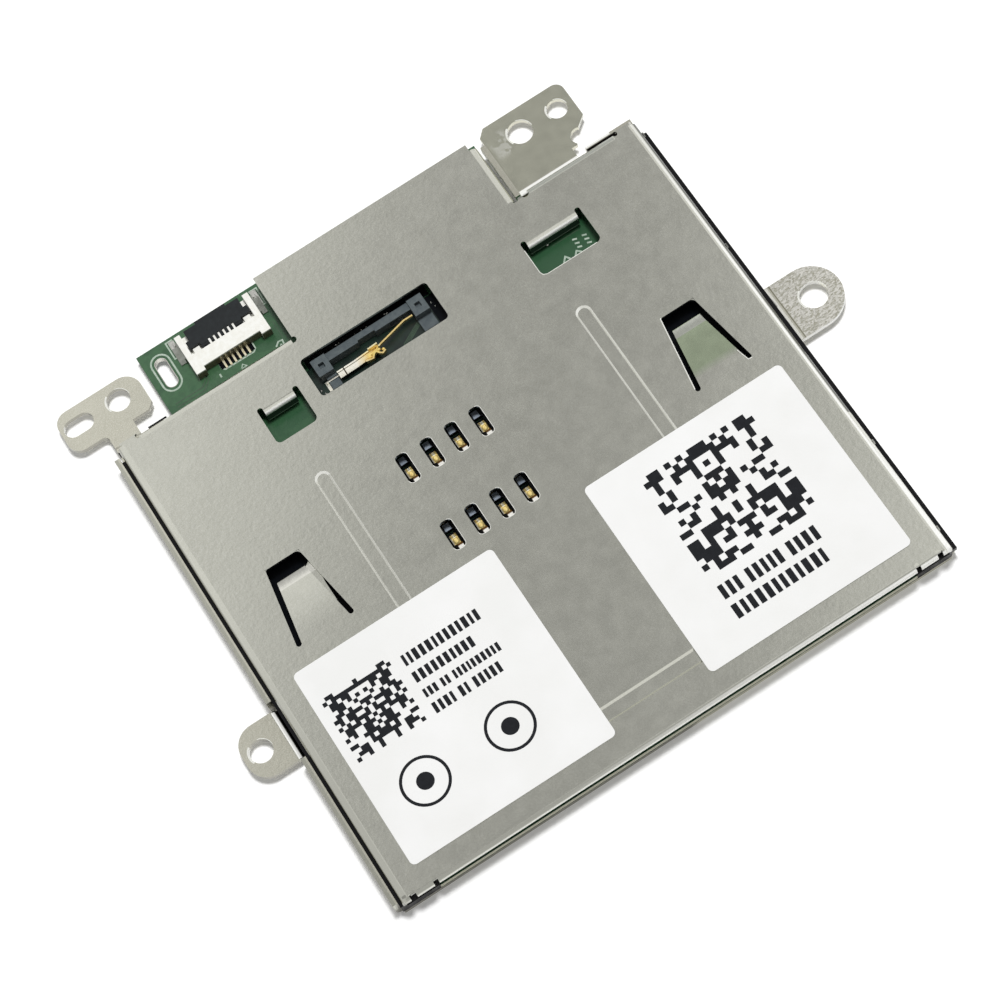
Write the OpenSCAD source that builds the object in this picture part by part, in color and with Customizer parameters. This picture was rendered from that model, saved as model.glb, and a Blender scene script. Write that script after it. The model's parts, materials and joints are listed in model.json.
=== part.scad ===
// Smart card reader board: a card slot of two stamped sheets around a thin circuit board.
// X runs along the contact rows, Y is the way the card goes in, Z is up, all in millimetres.
// The origin is on the underside, below the middle of the eight card contacts.

/* [Card slot] */
// Width of the card that the slot takes
card_w = 53.98; // [53.9:0.02:54.1]
// Play between the card and both side walls together
card_play = 0.52; // [0.4:0.02:0.6]
// Distance of the card's centre line from the middle of the contacts
card_offset = 3.1; // [2.95:0.05:3.25]
// Clear height from the rails to the cover
channel_h = 1.15; // [1.1:0.05:1.4]
// Distance from the middle of the contacts to the mouth of the slot
mouth_depth = 29.45; // [28.6:0.05:31]
// Distance from the middle of the contacts to the face that stops the card
stop_y = 15.7; // [15.3:0.1:15.8]

/* [Cover] */
// Thickness of the cover's sheet
cover_t = 0.3; // [0.25:0.05:0.35]
// Outer radius of the cover's bends
cover_bend_r = 0.75; // [0.6:0.05:0.8]
// Distance from the middle of the contacts to the cover's rear edge
cover_rear_y = 20.9; // [20.7:0.1:21.1]
// Distance from the middle of the contacts to the end of the rear tab
tab_end_y = 27.85; // [27:0.05:28.2]
// Left edge of the rear tab
tab_x0 = -5.95; // [-6.4:0.05:-5.5]
// Outer face of the rear tab's bent right side
tab_x1 = 17.6; // [17.4:0.1:17.8]
// Depth of the bent lip over the slot's mouth
lip_h = 0.6; // [0.55:0.05:0.65]
// Width of the pressed bead
bead_w = 1.5; // [1.3:0.1:1.7]
// Depth of the pressed bead
bead_depth = 0.2; // [0.1:0.05:0.25]
// Distance of each side run of the bead from the card's centre line
bead_x = 13.65; // [13.4:0.05:13.9]
// Distance of each card spring tab from the card's centre line
spring_x = 20.55; // [20.3:0.05:20.8]
// How far the card spring tabs dip into the channel
spring_dip = 0.42; // [0.3:0.02:0.45]

/* [Labels] */
// Side of each square label
label_w = 20.35; // [19.5:0.05:20.5]
// Thickness of the labels
label_t = 0.1; // [0.08:0.01:0.15]

/* [Mounting frame] */
// Thickness of the frame's sheet
frame_t = 0.5; // [0.4:0.05:0.55]
// Height of the frame's tall left wall
wall_h = 2.4; // [2.2:0.1:2.6]
// Height of the top face of the ears
ear_top = 1.3; // [1.2:0.05:1.35]
// Radius of the screw hole in the left ear
left_hole_r = 1.1; // [1:0.05:1.2]
// Radius of the screw hole in the right ear
right_hole_r = 1.3; // [1.1:0.05:1.4]
// Radius of the screw hole in the rear left ear
rear_left_hole_r = 1.13; // [1:0.01:1.25]
// Radius of the screw hole in the rear right ear
rear_right_hole_r = 1.22; // [1:0.01:1.3]
// Radius of the locating hole in the rear right ear
locating_hole_r = 1; // [0.9:0.05:1.1]
// Width of the locating slot in the rear left ear
ear_slot_w = 1.8; // [1.6:0.1:2]
// Length of the locating slot in the rear left ear
ear_slot_l = 2.95; // [2.6:0.05:3.1]

/* [Board] */
// Thickness of the circuit board
board_t = 0.6; // [0.5:0.05:0.7]
// Thickness of the insulating film below the board
film_t = 0.1; // [0.05:0.05:0.15]
// Distance from the middle of the contacts to the board's rear edge
board_rear_y = 28.4; // [28.2:0.1:29]
// Width of the slotted hole through the board
board_slot_w = 1.25; // [1.1:0.05:1.4]
// Length of the slotted hole through the board
board_slot_l = 3.3; // [3:0.1:3.6]

/* [Card contacts] */
// Distance between neighbouring contacts in a row
contact_pitch = 2.54; // [2.5:0.01:2.58]
// Distance between the two rows of contact points
row_spacing = 7.62; // [7.5:0.01:7.8]
// Width of a contact spring
contact_w = 0.8; // [0.7:0.05:0.9]
// Thickness of a contact spring
contact_t = 0.12; // [0.1:0.01:0.15]
// Height of the contact block, and of the rails, above the board
block_h = 0.55; // [0.5:0.05:0.6]

/* [Cable connector] */
// Width of the connector's housing
conn_w = 7.85; // [7.6:0.05:8.2]
// Height of the connector above the board
conn_h = 1.2; // [1.15:0.05:1.3]
// Distance between neighbouring cable contacts
cable_pitch = 0.5; // [0.48:0.01:0.52]
// Centre of the connector along X
conn_x = -10.95; // [-11.2:0.05:-10.8]

/* [Card switch] */
// Length of the switch body along X
switch_w = 11.7; // [11.4:0.1:12]
// Width of the switch body's long bar
switch_bar_d = 0.8; // [0.7:0.05:0.9]
// Thickness of the switch arm
arm_t = 0.15; // [0.12:0.01:0.18]

/* [Parts under the rear tab] */
// Side of the controller chip
chip_w = 5; // [4:0.1:6]
// Height of the controller chip
chip_h = 0.85; // [0.6:0.05:1]

/* [Hidden] */
$fn = 48;
join = 0.01;
ways = 6;
contacts = 8;
small_parts = 4;

// Heights from the underside up
board_z = frame_t + film_t;
board_top = board_z + board_t;
rail_top = board_top + block_h;
under_z = rail_top + channel_h;
top_z = under_z + cover_t;
ledge_h = 0.15;
ledge_top = rail_top + ledge_h;

// Sides of the channel, the cover and the frame's walls
channel_x0 = card_offset - (card_w + card_play) / 2;
channel_x1 = card_offset + (card_w + card_play) / 2;
cover_x0 = channel_x0 - cover_t;
cover_x1 = channel_x1 + cover_t;
front_y = -mouth_depth;
wall_gap = 0.3;
rear_wall_gap = 0.15;
wall_x0 = cover_x0 - wall_gap - frame_t;
wall_x1 = cover_x1 + frame_t;
wall_y1 = cover_rear_y + rear_wall_gap + frame_t;
wall_y0 = front_y + 0.55;
floor_y0 = front_y + 0.25;

// Cover: lip, windows and reliefs
lip_r = 0.4;
lip_inset = [3.3, 3.35];
lip_x0 = channel_x0 + lip_inset[0];
lip_x1 = channel_x1 - lip_inset[1];
lip_gap = 0.45;
corner_lip_w = 1.7;
relief_r = 0.3;
relief_depth = 0.45;
end_relief = [0.23, 0.25];
flange_end = 1.4;
corner_reach = 0.4;
side_flange_inset = [0.2, 0.25];
rear_flange_drop = 1.1;
rear_flange_gap = [0.2, 1.45];
wide_relief_r = 0.38;
tab_side_gap = 0.7;
tab_side_lift = 0.1;
window_w = 1.2;
window_l = 3.05;
window_r = 0.4;
switch_window = [-6.6, 14.05, 6.75, 18.3];
stop_r = 0.5;
stop_side = 0.53;
stop_reach = 0.15;
stop_windows = [[-12.2, -7.97], [15.65, 21.93]];
stop_window_y0 = 12.45;
bead_y1 = 7.3;
bead_y0 = -25.15;
bead_turn_r = 1.5;
dimple_r = 0.3;
dimple_h = 0.12;
dimple_ys = [-27.05, -17.35, 5.7, 19.4];
dimple_z = ledge_top + 0.45;

// Cover: card spring tabs
tab_top_y = 2.85;
tab_root_y = -4.7;
tab_fold_y = -4.1;
tab_tip_y = 1.38;
tab_band = 0.85;
tab_top_hw = 1.7;
tab_root_hw = 2.9;
tab_slot = 0.5;
tab_lift = 0.15;

// Labels
left_label = [-11.88, -17.02];
right_label = [17.88, -17.02];
label_r = 0.5;

// Frame
floor_bend_r = frame_t + 0.1;
ear_bend_ri = 0.2;
ear_z = ear_top - frame_t;
ear_relief = 0.4;
left_ear_y = [-13, -7.85];
left_ear_l = 4.2;
left_ear_x = wall_x0 - left_ear_l;
left_hole = [wall_x0 - 2.5, -10.4];
left_ear_r = 2;
right_ear_y = [-5.35, 0.7];
right_ear_l = 6.05;
right_ear_x = wall_x1 + right_ear_l;
right_hole = [wall_x1 + 3.4, -2.32];
rear_left_neck = [wall_x0 + 0.65, wall_x0 + 3.35];
rear_left_ear = [wall_x0 - 2.8, wall_y1 + 1.7, wall_x0 + 5.7, wall_y1 + 6.05];
rear_left_hole = [wall_x0 + 3.2, wall_y1 + 4.15];
rear_left_r = [1.3, 1.7];
rear_left_chamfer = 0.6;
ear_slot = [wall_x0 - 1, wall_y1 + 4.15];
rear_right_neck = [wall_x1 - 12.95, wall_x1 - 6.25];
rear_right_ear = [wall_x1 - 12.6, wall_y1 + 0.05, wall_x1 - 3.55, wall_y1 + 7.8];
rear_right_hole = [wall_x1 - 9.2, wall_y1 + 5.45];
locating_hole = [wall_x1 - 5.2, wall_y1 + 5.45];
bite = [wall_x1 - 4.95, wall_y1 + 1.9];
bite_corner = [wall_x1 - 5.65, wall_y1 + 1.2];
bite_step = [wall_x1 - 4.55, wall_y1 + 2.75];
bite_end_y = wall_y1 + 3.55;
rear_right_r = 0.9;
rear_right_chamfer = 0.75;
bite_r = 0.85;
ear_flange_h = 1.5;
ear_flange_y = [wall_y1 - frame_t, wall_y1 + 5.7];
right_rear_wall = [wall_x1 - 5.45, wall_x1 - 0.6];
wall_end = 0.8;

// Board
board_x0 = channel_x0 + 1.85;
board_x1 = channel_x1 - 1.85;
board_corner_l = 0.9;
board_front_y = front_y + 0.25;
board_tongue = [tab_x0 - 12.75, tab_x1 + 0.15];
board_slot = [board_tongue[0] + 1.63, board_rear_y - 2.9];
film_edge = 0.1;
film_y0 = front_y + 1;
board_play = 0.1;

// Rails
rail_bevel = 0.15;
rail_end = 1.1;
lug_x = [wall_x0 + 4.15, wall_x0 + 6.05];
lug_d = 0.75;
ramp_h = 0.35;
ramp_l = 1.4;

// Card contacts, measured from the pivot at the root of each spring
contact_l = 5.1;
contact_rise = 1.19;
contact_foot = 0.55;
contact_nose = 0.4;
contact_play = 0.1;
contact_end_gap = 0.7;
contact_bend = 0.25;
block_wall = 0.7;
block_x = 1.5 * contact_pitch + contact_w / 2 + contact_play + block_wall;
block_y0 = -row_spacing / 2 - contact_l - contact_foot - contact_play - block_wall;
block_y1 = row_spacing / 2 + contact_nose + contact_end_gap + block_wall;

// Card switch: a bar with a post at each end, and a low block in front of each post
switch_x0 = -switch_w / 2;
switch_x1 = switch_w / 2;
switch_y1 = stop_y + 2.3;
switch_h = 1.35;
switch_bar_h = 1.1;
switch_end_w = 1.5;
post_y0 = stop_y + 0.47;
post_hole = 0.55;
low_block_h = 0.45;
low_block_y0 = stop_y - 0.85;
low_block_inset = 0.5;
bar_waist = [-1.2, 0.6];
bar_waist_d = 0.2;
switch_bar_y = switch_y1 - switch_bar_d;
pocket_x0 = switch_x1 - 3.75;
pocket_x1 = switch_x1 - switch_end_w;
pocket_d = 0.45;
pocket_h = 0.75;
terminal_w = 1.2;
terminal_t = 0.12;
terminal_gap = 0.15;

// Switch arm: a tall strip from its root, then a low one that reaches into the bar's pocket
arm_root = [switch_x0 + 1.25, stop_y + 0.1];
arm_play = 0.06;
arm_z = board_top + 0.12;
arm_h = 1;
arm_root_h = 0.3;
arm_low_z = board_top + 0.5;
arm_low_h = 0.3;
arm_bend = [arm_root[0] + 2.1, arm_root[1] + 0.02];
arm_mid = [0.1, arm_root[1] + 0.18];
arm_turn = [switch_x1 - 2.59, arm_root[1] + 0.98];
arm_end = [switch_x1 - 1.65, arm_root[1] + 0.98];
arm_tab_w = 1;
arm_tab_h = 0.38;
tail = [switch_x0 + 0.17, arm_root[1] - 0.82, switch_x0 + 0.47, arm_root[1] + 0.2];
tail_h = 0.14;
tail_gap = 0.02;
hook_z = board_top + 0.55;
hook_h = 0.45;
hook_points = [for (p = [[-1.65, -0.73], [-0.95, -0.86], [-0.7, -0.53], [-0.3, -0.33], [0, 0]]) arm_mid + p];
hook_toe = [for (p = [[-0.45, -0.38], [-0.2, -0.73], [0.02, -0.9], [0.38, -0.76]]) arm_mid + p];

// Cable connector
conn_x0 = conn_x - conn_w / 2;
conn_x1 = conn_x + conn_w / 2;
conn_y0 = 23.05;
conn_y1 = 27.45;
conn_block_d = 1.95;
conn_top = board_top + conn_h;
conn_base_h = 0.3;
arm_w = 0.6;
nose_recess = 0.4;
nose_side = 0.95;
bump_w = 0.7;
bump_l = 0.6;
bump_gap = 0.3;
bump_h = conn_h - 0.25;
latch_play = 0.08;
latch_t = 0.6;
latch_bulge = [3.2, 0.25];
latch_end = 0.05;
latch_corner = [0.35, 1.1];
comb_l = 0.55;
comb_w = 0.24;
latch_pivot_r = 0.3;
latch_y0 = conn_y0 + conn_block_d + 0.1;
latch_pivot = [latch_y0 + latch_pivot_r, conn_top - 0.35];
pin_w = 0.2;
pin_t = 0.15;
pin_y0 = conn_y0 - 0.45;
pin_play = 0.03;
pin_bend = 0.3;
pin_slot_l = conn_block_d + 1.4;
pin_tip_y = conn_y0 + 3.6;
pin_roof = 0.25;
pin_arm_z = conn_h - 0.4;
anchor_w = 0.7;
anchor_l = 1.9;
anchor_h = 0.9;
anchor_t = 0.15;
anchor_inset = 0.35;

// Parts under the rear tab
chip_at = [4.5, 24.6];
crystal_at = [11.4, 24.6];
crystal_size = [3.2, 2.5, 0.7];
crystal_r = 0.3;
chip_part = [1, 0.5, 0.5];
chip_cap = 0.22;
chip_lip = 0.02;
capacitor_at = [[0.2, 22.4], [0.2, 24.1], [8.4, 22.4], [8.4, 27]];
resistor_at = [[0.2, 25.8], [14.6, 22.6], [14.6, 24.4], [14.6, 26.2]];

// A rectangle with round corners
module round_rect(x0, y0, x1, y1, r) {
    translate([x0 + r, y0]) square([x1 - x0 - 2 * r, y1 - y0]);
    translate([x0, y0 + r]) square([x1 - x0, y1 - y0 - 2 * r]);
    for (x = [x0 + r, x1 - r], y = [y0 + r, y1 - r]) translate([x, y]) circle(r);
}

// A slot with round ends, l long along Y before turn
module slot(at, w, l, turn = 0) {
    translate(at) rotate(turn) {
        square([w, l - w], center = true);
        for (s = [-1, 1]) translate([0, s * (l - w) / 2]) circle(w / 2);
    }
}

// A strip of even thickness t along a line of points
function unit(v) = v / norm(v);
function side_of(v) = [-v[1], v[0]];
function strip_side(p, i, h) =
    let (n = len(p),
         a = unit(i > 0 ? p[i] - p[i - 1] : p[1] - p[0]),
         b = unit(i < n - 1 ? p[i + 1] - p[i] : p[n - 1] - p[n - 2]),
         m = unit(side_of(a) + side_of(b)))
    p[i] + m * h / (m * side_of(a));
module strip(p, t) {
    n = len(p);
    polygon(concat([for (i = [0:n - 1]) strip_side(p, i, t / 2)],
                   [for (i = [n - 1:-1:0]) strip_side(p, i, -t / 2)]));
}

// A side view drawn in the YZ plane, from x0 to x1
module side_view(x0, x1) {
    translate([x0, 0, 0]) rotate([90, 0, 90]) linear_extrude(x1 - x0) children();
}

// Section of an edge bent down: the flat sheet ends at the origin with its top at 0
module bend_section(r, t, drop) {
    translate([0, -r]) intersection() {
        difference() {
            circle(r);
            circle(r - t);
        }
        square(r);
    }
    if (drop > r + join) translate([r - t, -drop]) square([t, drop - r]);
}

// A section that runs for l from the point at, and faces out along the angle
module run(at, angle, l) {
    translate(at) rotate([0, 0, angle]) rotate([90, 0, 0]) linear_extrude(l) children();
}

// Section of the frame from its floor up the wall and out along an ear
module ear_section() {
    c = ear_top - frame_t - ear_bend_ri;
    mirror([0, 1]) bend_section(floor_bend_r, frame_t, c);
    translate([floor_bend_r + ear_bend_ri, c]) intersection() {
        difference() {
            circle(ear_bend_ri + frame_t);
            circle(ear_bend_ri);
        }
        translate([-2 * frame_t - ear_bend_ri, 0]) square(2 * frame_t + ear_bend_ri);
    }
}

// Section of the frame's wall, h high
module wall_section(h) {
    mirror([0, 1]) bend_section(floor_bend_r, frame_t, h);
}

// A U-shaped bead with sloped sides, w0 wide at the height z0 and w1 wide at z1
module bead(z0, w0, z1, w1) {
    section = [[-w0 / 2, z0], [w0 / 2, z0], [w1 / 2, z1], [-w1 / 2, z1]];
    for (s = [-1, 1]) translate([card_offset + s * bead_x, 0, 0]) {
        run([0, bead_y1, 0], 0, bead_y1 - bead_y0 - bead_turn_r) polygon(section);
        translate([0, bead_y1, z0]) cylinder(h = z1 - z0, r1 = w0 / 2, r2 = w1 / 2);
    }
    run([card_offset - bead_x + bead_turn_r, bead_y0, 0], 90, 2 * (bead_x - bead_turn_r)) polygon(section);
    for (s = [-1, 1])
        translate([card_offset + s * (bead_x - bead_turn_r), bead_y0 + bead_turn_r, 0])
        rotate(s < 0 ? 180 : 270) rotate_extrude(angle = 90) translate([bead_turn_r, 0]) polygon(section);
}

// Outline of a card spring tab's cut-out, or of the tab itself inset by slot_w
module spring_outline(slot_w, y0, y1) {
    slope = (tab_root_hw - tab_top_hw) / (tab_top_y - tab_root_y);
    w0 = tab_top_hw + slope * (tab_top_y - y0) - slot_w;
    w1 = tab_top_hw + slope * (tab_top_y - y1) - slot_w;
    polygon([[-w0, y0], [w0, y0], [w1, y1], [-w1, y1]]);
}

module spring_cutout() {
    difference() {
        spring_outline(0, tab_root_y, tab_top_y);
        spring_outline(tab_slot, tab_root_y - join, tab_fold_y);
    }
    for (s = [-1, 1]) translate([s * (tab_root_hw - tab_slot / 2), tab_root_y]) circle(tab_slot / 2);
}

module spring_tab() {
    mid = under_z + cover_t / 2;
    intersection() {
        linear_extrude(top_z + 1) spring_outline(tab_slot, tab_fold_y, tab_tip_y);
        side_view(-tab_root_hw, tab_root_hw)
            strip([[tab_fold_y - 1, mid], [tab_fold_y, mid], [tab_tip_y - tab_band, mid - spring_dip],
                   [tab_tip_y + 1, mid - spring_dip + tab_lift]], cover_t);
    }
}

// The cover's flat sheet with all its windows, seen from above
module cover_blank() {
    x0 = cover_x0 + cover_bend_r;
    x1 = cover_x1 - cover_bend_r;
    rear_y = cover_rear_y - cover_bend_r;
    difference() {
        union() {
            translate([x0, front_y + lip_r]) square([x1 - x0, rear_y - front_y - lip_r]);
            for (x = [[x0, x0 + flange_end], [x1 - flange_end, x1]])
                translate([x[0], rear_y]) square([x[1] - x[0], cover_bend_r]);
            for (x = [x0 + flange_end - join, x1 - flange_end - end_relief[0]])
                translate([x, rear_y]) square([end_relief[0] + join, cover_bend_r - end_relief[1]]);
            translate([tab_x1 - cover_bend_r - join, rear_y])
                square([cover_bend_r + join + rear_flange_gap[1], cover_bend_r - relief_depth]);
            for (x = [x0 - corner_reach, x1])
                translate([x, cover_rear_y - side_flange_inset[1]])
                    square([corner_reach, side_flange_inset[1]]);
            translate([tab_x0, cover_rear_y - 1])
                square([tab_x1 - cover_bend_r - tab_x0, tab_end_y - cover_rear_y + 1]);
        }
        for (s = [-1.5:1.5], y = [-0.5, 0.5] * row_spacing) translate([s * contact_pitch, y])
            round_rect(-window_w / 2, -window_l / 2, window_w / 2, window_l / 2, window_r);
        round_rect(switch_window[0], switch_window[1], switch_window[2], switch_window[3], window_r);
        for (w = stop_windows) {
            intersection() {
                round_rect(w[0], stop_window_y0, w[1], stop_y + 2 * stop_r, stop_r);
                translate([w[0], stop_window_y0]) square([w[1] - w[0], stop_y + stop_r - stop_window_y0]);
            }
            for (x = [w[0] + stop_side / 2, w[1] - stop_side / 2])
                translate([x, stop_y + stop_r]) circle(stop_side / 2);
        }
        for (s = [-1, 1]) translate([card_offset + s * spring_x, 0]) spring_cutout();
        for (x = [lip_x0 - lip_gap / 2, lip_x0 - lip_gap * 1.5 - corner_lip_w,
                  lip_x1 + lip_gap / 2, lip_x1 + lip_gap * 1.5 + corner_lip_w])
            translate([x, front_y + lip_r]) circle(lip_gap / 2);
        for (x = [tab_x0, tab_x1]) translate([x, cover_rear_y - relief_depth]) circle(relief_r);
        translate([tab_x1 + rear_flange_gap[1] - wide_relief_r, cover_rear_y - relief_depth])
            circle(wide_relief_r);
        for (x = [x0 + flange_end, x1 - flange_end])
            translate([x, cover_rear_y - end_relief[1]]) circle(end_relief[0]);
    }
}

// The cover's bent edges: sides, front lips, rear flanges and the rear tab's side
module cover_edges() {
    rear_y = cover_rear_y - cover_bend_r;
    edge_y = front_y + side_flange_inset[0];
    side_l = cover_rear_y - side_flange_inset[1] - edge_y;
    run([cover_x1 - cover_bend_r, edge_y + side_l, top_z], 0, side_l)
        bend_section(cover_bend_r, cover_t, top_z - ledge_top);
    run([cover_x0 + cover_bend_r, edge_y, top_z], 180, side_l)
        bend_section(cover_bend_r, cover_t, top_z - ledge_top);
    for (x = [[lip_x0, lip_x1], [lip_x0 - lip_gap - corner_lip_w, lip_x0 - lip_gap],
              [lip_x1 + lip_gap, lip_x1 + lip_gap + corner_lip_w]])
        run([x[1], front_y + lip_r, top_z], -90, x[1] - x[0]) bend_section(lip_r, cover_t, lip_h);
    end_x = cover_bend_r + flange_end + end_relief[0];
    for (x = [[cover_x0 + end_x, tab_x0 - rear_flange_gap[0]],
              [tab_x1 + rear_flange_gap[1], cover_x1 - end_x]])
        run([x[0], rear_y, top_z], 90, x[1] - x[0]) bend_section(cover_bend_r, cover_t, rear_flange_drop);
    run([tab_x1 - cover_bend_r, tab_end_y - tab_side_gap, top_z], 0,
        tab_end_y - tab_side_gap - cover_rear_y + relief_depth)
        bend_section(cover_bend_r, cover_t, top_z - board_top - tab_side_lift);
    for (w = stop_windows)
        run([w[1] - stop_side, stop_y + stop_r, top_z], -90, w[1] - w[0] - 2 * stop_side)
            bend_section(stop_r, cover_t, top_z - rail_top + stop_reach);
}

module cover() color([0.72, 0.72, 0.69]) {
    difference() {
        union() {
            translate([0, 0, under_z]) linear_extrude(cover_t) cover_blank();
            bead(under_z - bead_depth, bead_w - bead_depth, under_z + join, bead_w + 2 * bead_depth);
        }
        bead(top_z - bead_depth, bead_w - 2 * bead_depth, top_z + join, bead_w);
    }
    cover_edges();
    for (s = [-1, 1]) translate([card_offset + s * spring_x, 0, 0]) spring_tab();
    for (y = dimple_ys) translate([cover_x1 - join, y, dimple_z]) rotate([0, 90, 0])
        cylinder(h = dimple_h + join, r = dimple_r);
}

// Outline of the left ear, with its screw hole
module left_ear() {
    root_x = wall_x0 - ear_bend_ri;
    difference() {
        union() {
            translate([left_ear_x, left_ear_y[0] + left_ear_r])
                square([root_x - left_ear_x, left_ear_y[1] - left_ear_y[0] - 2 * left_ear_r]);
            translate([left_ear_x + left_ear_r, left_ear_y[0]])
                square([root_x - left_ear_x - left_ear_r, left_ear_y[1] - left_ear_y[0]]);
            for (y = [left_ear_y[0] + left_ear_r, left_ear_y[1] - left_ear_r])
                translate([left_ear_x + left_ear_r, y]) circle(left_ear_r);
        }
        translate(left_hole) circle(left_hole_r);
    }
}

// Outline of the right ear, with its screw hole
module right_ear() {
    root_x = wall_x1 + ear_bend_ri;
    r = (right_ear_y[1] - right_ear_y[0]) / 2;
    mid_y = (right_ear_y[1] + right_ear_y[0]) / 2;
    difference() {
        union() {
            translate([root_x, right_ear_y[0]]) square([right_ear_x - r - root_x, 2 * r]);
            translate([right_ear_x - r, mid_y]) circle(r);
        }
        translate(right_hole) circle(right_hole_r);
    }
}

// Outline of the rear left ear, with its screw hole and locating slot
module rear_left_ear() {
    e = rear_left_ear;
    neck_y = wall_y1 + ear_bend_ri;
    small_r = rear_left_r[0];
    big_r = rear_left_r[1];
    c = rear_left_chamfer;
    difference() {
        union() {
            translate([rear_left_neck[0], neck_y])
                square([rear_left_neck[1] - rear_left_neck[0], e[1] - neck_y + 1]);
            translate([e[0] + small_r, e[1]]) square([e[2] - e[0] - small_r - big_r, e[3] - e[1]]);
            translate([e[0], e[1] + small_r]) square([small_r + join, e[3] - e[1] - 2 * small_r]);
            translate([e[2] - big_r - join, e[1] + c]) square([big_r + join, e[3] - e[1] - c - big_r]);
            polygon([[e[2] - big_r, e[1]], [e[2] - c, e[1]], [e[2], e[1] + c], [e[2] - big_r, e[1] + c]]);
            for (y = [e[1] + small_r, e[3] - small_r]) translate([e[0] + small_r, y]) circle(small_r);
            translate([e[2] - big_r, e[3] - big_r]) circle(big_r);
            translate([rear_left_neck[0] - 0.5, e[1] - 0.5]) difference() {
                square(0.5 + join);
                circle(0.5);
            }
        }
        translate(rear_left_hole) circle(rear_left_hole_r);
        slot(ear_slot, ear_slot_w, ear_slot_l, 90);
    }
}

// Outline of the rear right ear, with its screw hole, locating hole and side bite
module rear_right_ear() {
    e = rear_right_ear;
    neck_y = wall_y1 + ear_bend_ri;
    corner_r = rear_right_r;
    chamfer = rear_right_chamfer;
    difference() {
        union() {
            polygon([[e[0], neck_y], [rear_right_neck[1], neck_y], [rear_right_neck[1], bite_corner[1]],
                     bite_corner, bite_step, [e[2], bite_end_y],
                     [e[2], e[3] - corner_r], [e[2] - corner_r, e[3] - corner_r], [e[2] - corner_r, e[3]],
                     [e[0] + chamfer, e[3]], [e[0], e[3] - chamfer]]);
            translate([e[2] - corner_r, e[3] - corner_r]) circle(corner_r);
        }
        translate(bite) circle(bite_r);
        translate(rear_right_hole) circle(rear_right_hole_r);
        translate(locating_hole) circle(locating_hole_r);
    }
}

// The frame's walls, run by run between the ears
module frame_walls() {
    flat_x0 = wall_x0 + floor_bend_r;
    flat_x1 = wall_x1 - floor_bend_r;
    flat_y1 = wall_y1 - floor_bend_r;
    side_y1 = cover_rear_y - wall_end;
    for (y = [[wall_y0, left_ear_y[0] - ear_relief], [left_ear_y[1] + ear_relief, side_y1]])
        run([flat_x0, y[0], 0], 180, y[1] - y[0]) wall_section(wall_h);
    for (y = [[wall_y0, right_ear_y[0] - ear_relief], [right_ear_y[1] + ear_relief, side_y1]])
        run([flat_x1, y[1], 0], 0, y[1] - y[0]) wall_section(ear_top);
    run([right_rear_wall[0], flat_y1, 0], 90, right_rear_wall[1] - right_rear_wall[0]) wall_section(wall_h);
    run([flat_x0, left_ear_y[0], 0], 180, left_ear_y[1] - left_ear_y[0]) ear_section();
    run([flat_x1, right_ear_y[1], 0], 0, right_ear_y[1] - right_ear_y[0]) ear_section();
    for (n = [rear_left_neck, rear_right_neck])
        run([n[0], flat_y1, 0], 90, n[1] - n[0]) ear_section();
}

module mounting_frame() color([0.78, 0.77, 0.72]) {
    translate([wall_x0 + floor_bend_r, floor_y0, 0])
        cube([wall_x1 - wall_x0 - 2 * floor_bend_r, wall_y1 - floor_bend_r - floor_y0, frame_t]);
    frame_walls();
    translate([0, 0, ear_z]) linear_extrude(frame_t) {
        left_ear();
        right_ear();
        rear_left_ear();
        rear_right_ear();
    }
    run([rear_right_ear[0], ear_flange_y[0], ear_z], 180, ear_flange_y[1] - ear_flange_y[0])
        wall_section(ear_flange_h);
}

module insulating_film() color([0.85, 0.8, 0.6])
    translate([board_x0 + film_edge, film_y0, frame_t])
        cube([board_x1 - board_x0 - 2 * film_edge, cover_rear_y - film_y0, film_t]);

// Outline of the board: the part between the rails and the tongue behind the cover
module board_outline() {
    corner_x0 = lip_x0 - board_play;
    corner_x1 = lip_x1 + board_play;
    difference() {
        union() {
            translate([corner_x0, board_front_y]) square([corner_x1 - corner_x0, 2 * board_corner_l]);
            translate([board_x0, board_front_y + board_corner_l])
                square([board_x1 - board_x0, wall_y1 - frame_t - join - board_front_y - board_corner_l]);
            translate([board_tongue[0], cover_rear_y - 1])
                square([board_tongue[1] - board_tongue[0], board_rear_y - cover_rear_y + 1]);
        }
        slot(board_slot, board_slot_w, board_slot_l);
    }
}

module circuit_board() color([0.2, 0.4, 0.25])
    translate([0, 0, board_z]) linear_extrude(board_t) board_outline();

// Section of the left rail: it carries the card's edge, and its ledge carries the cover's side
module left_rail_section() {
    x0 = cover_x0 - wall_gap;
    polygon([[x0 + rail_bevel, frame_t], [x0, frame_t + rail_bevel], [x0, ledge_top], [channel_x0, ledge_top],
             [channel_x0, rail_top], [board_x0, rail_top], [board_x0, frame_t]]);
}

// Section of the right rail: its ledge also lies on the frame's low wall
module right_rail_section() {
    x1 = wall_x1 - frame_t;
    polygon([[board_x1, frame_t], [board_x1, rail_top], [channel_x1, rail_top], [channel_x1, ledge_top],
             [wall_x1, ledge_top], [wall_x1, ear_top], [x1, ear_top], [x1, frame_t + rail_bevel],
             [x1 - rail_bevel, frame_t]]);
}

// A rail's run, its foot in the board's front corner and the ramp that leads the card in
module rail(corner_x0, corner_x1) {
    y0 = board_front_y;
    rail_l = cover_rear_y - rail_end - y0;
    difference() {
        union() {
            run([0, y0 + rail_l, 0], 0, rail_l) children();
            translate([corner_x0, y0, board_z])
                cube([corner_x1 - corner_x0, board_corner_l, rail_top - board_z]);
        }
        translate([0, y0, rail_top]) side_view(channel_x0, channel_x1)
            polygon([[-1, 1], [-1, -ramp_h], [0, -ramp_h], [ramp_l, 0], [ramp_l, 1]]);
    }
}

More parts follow.
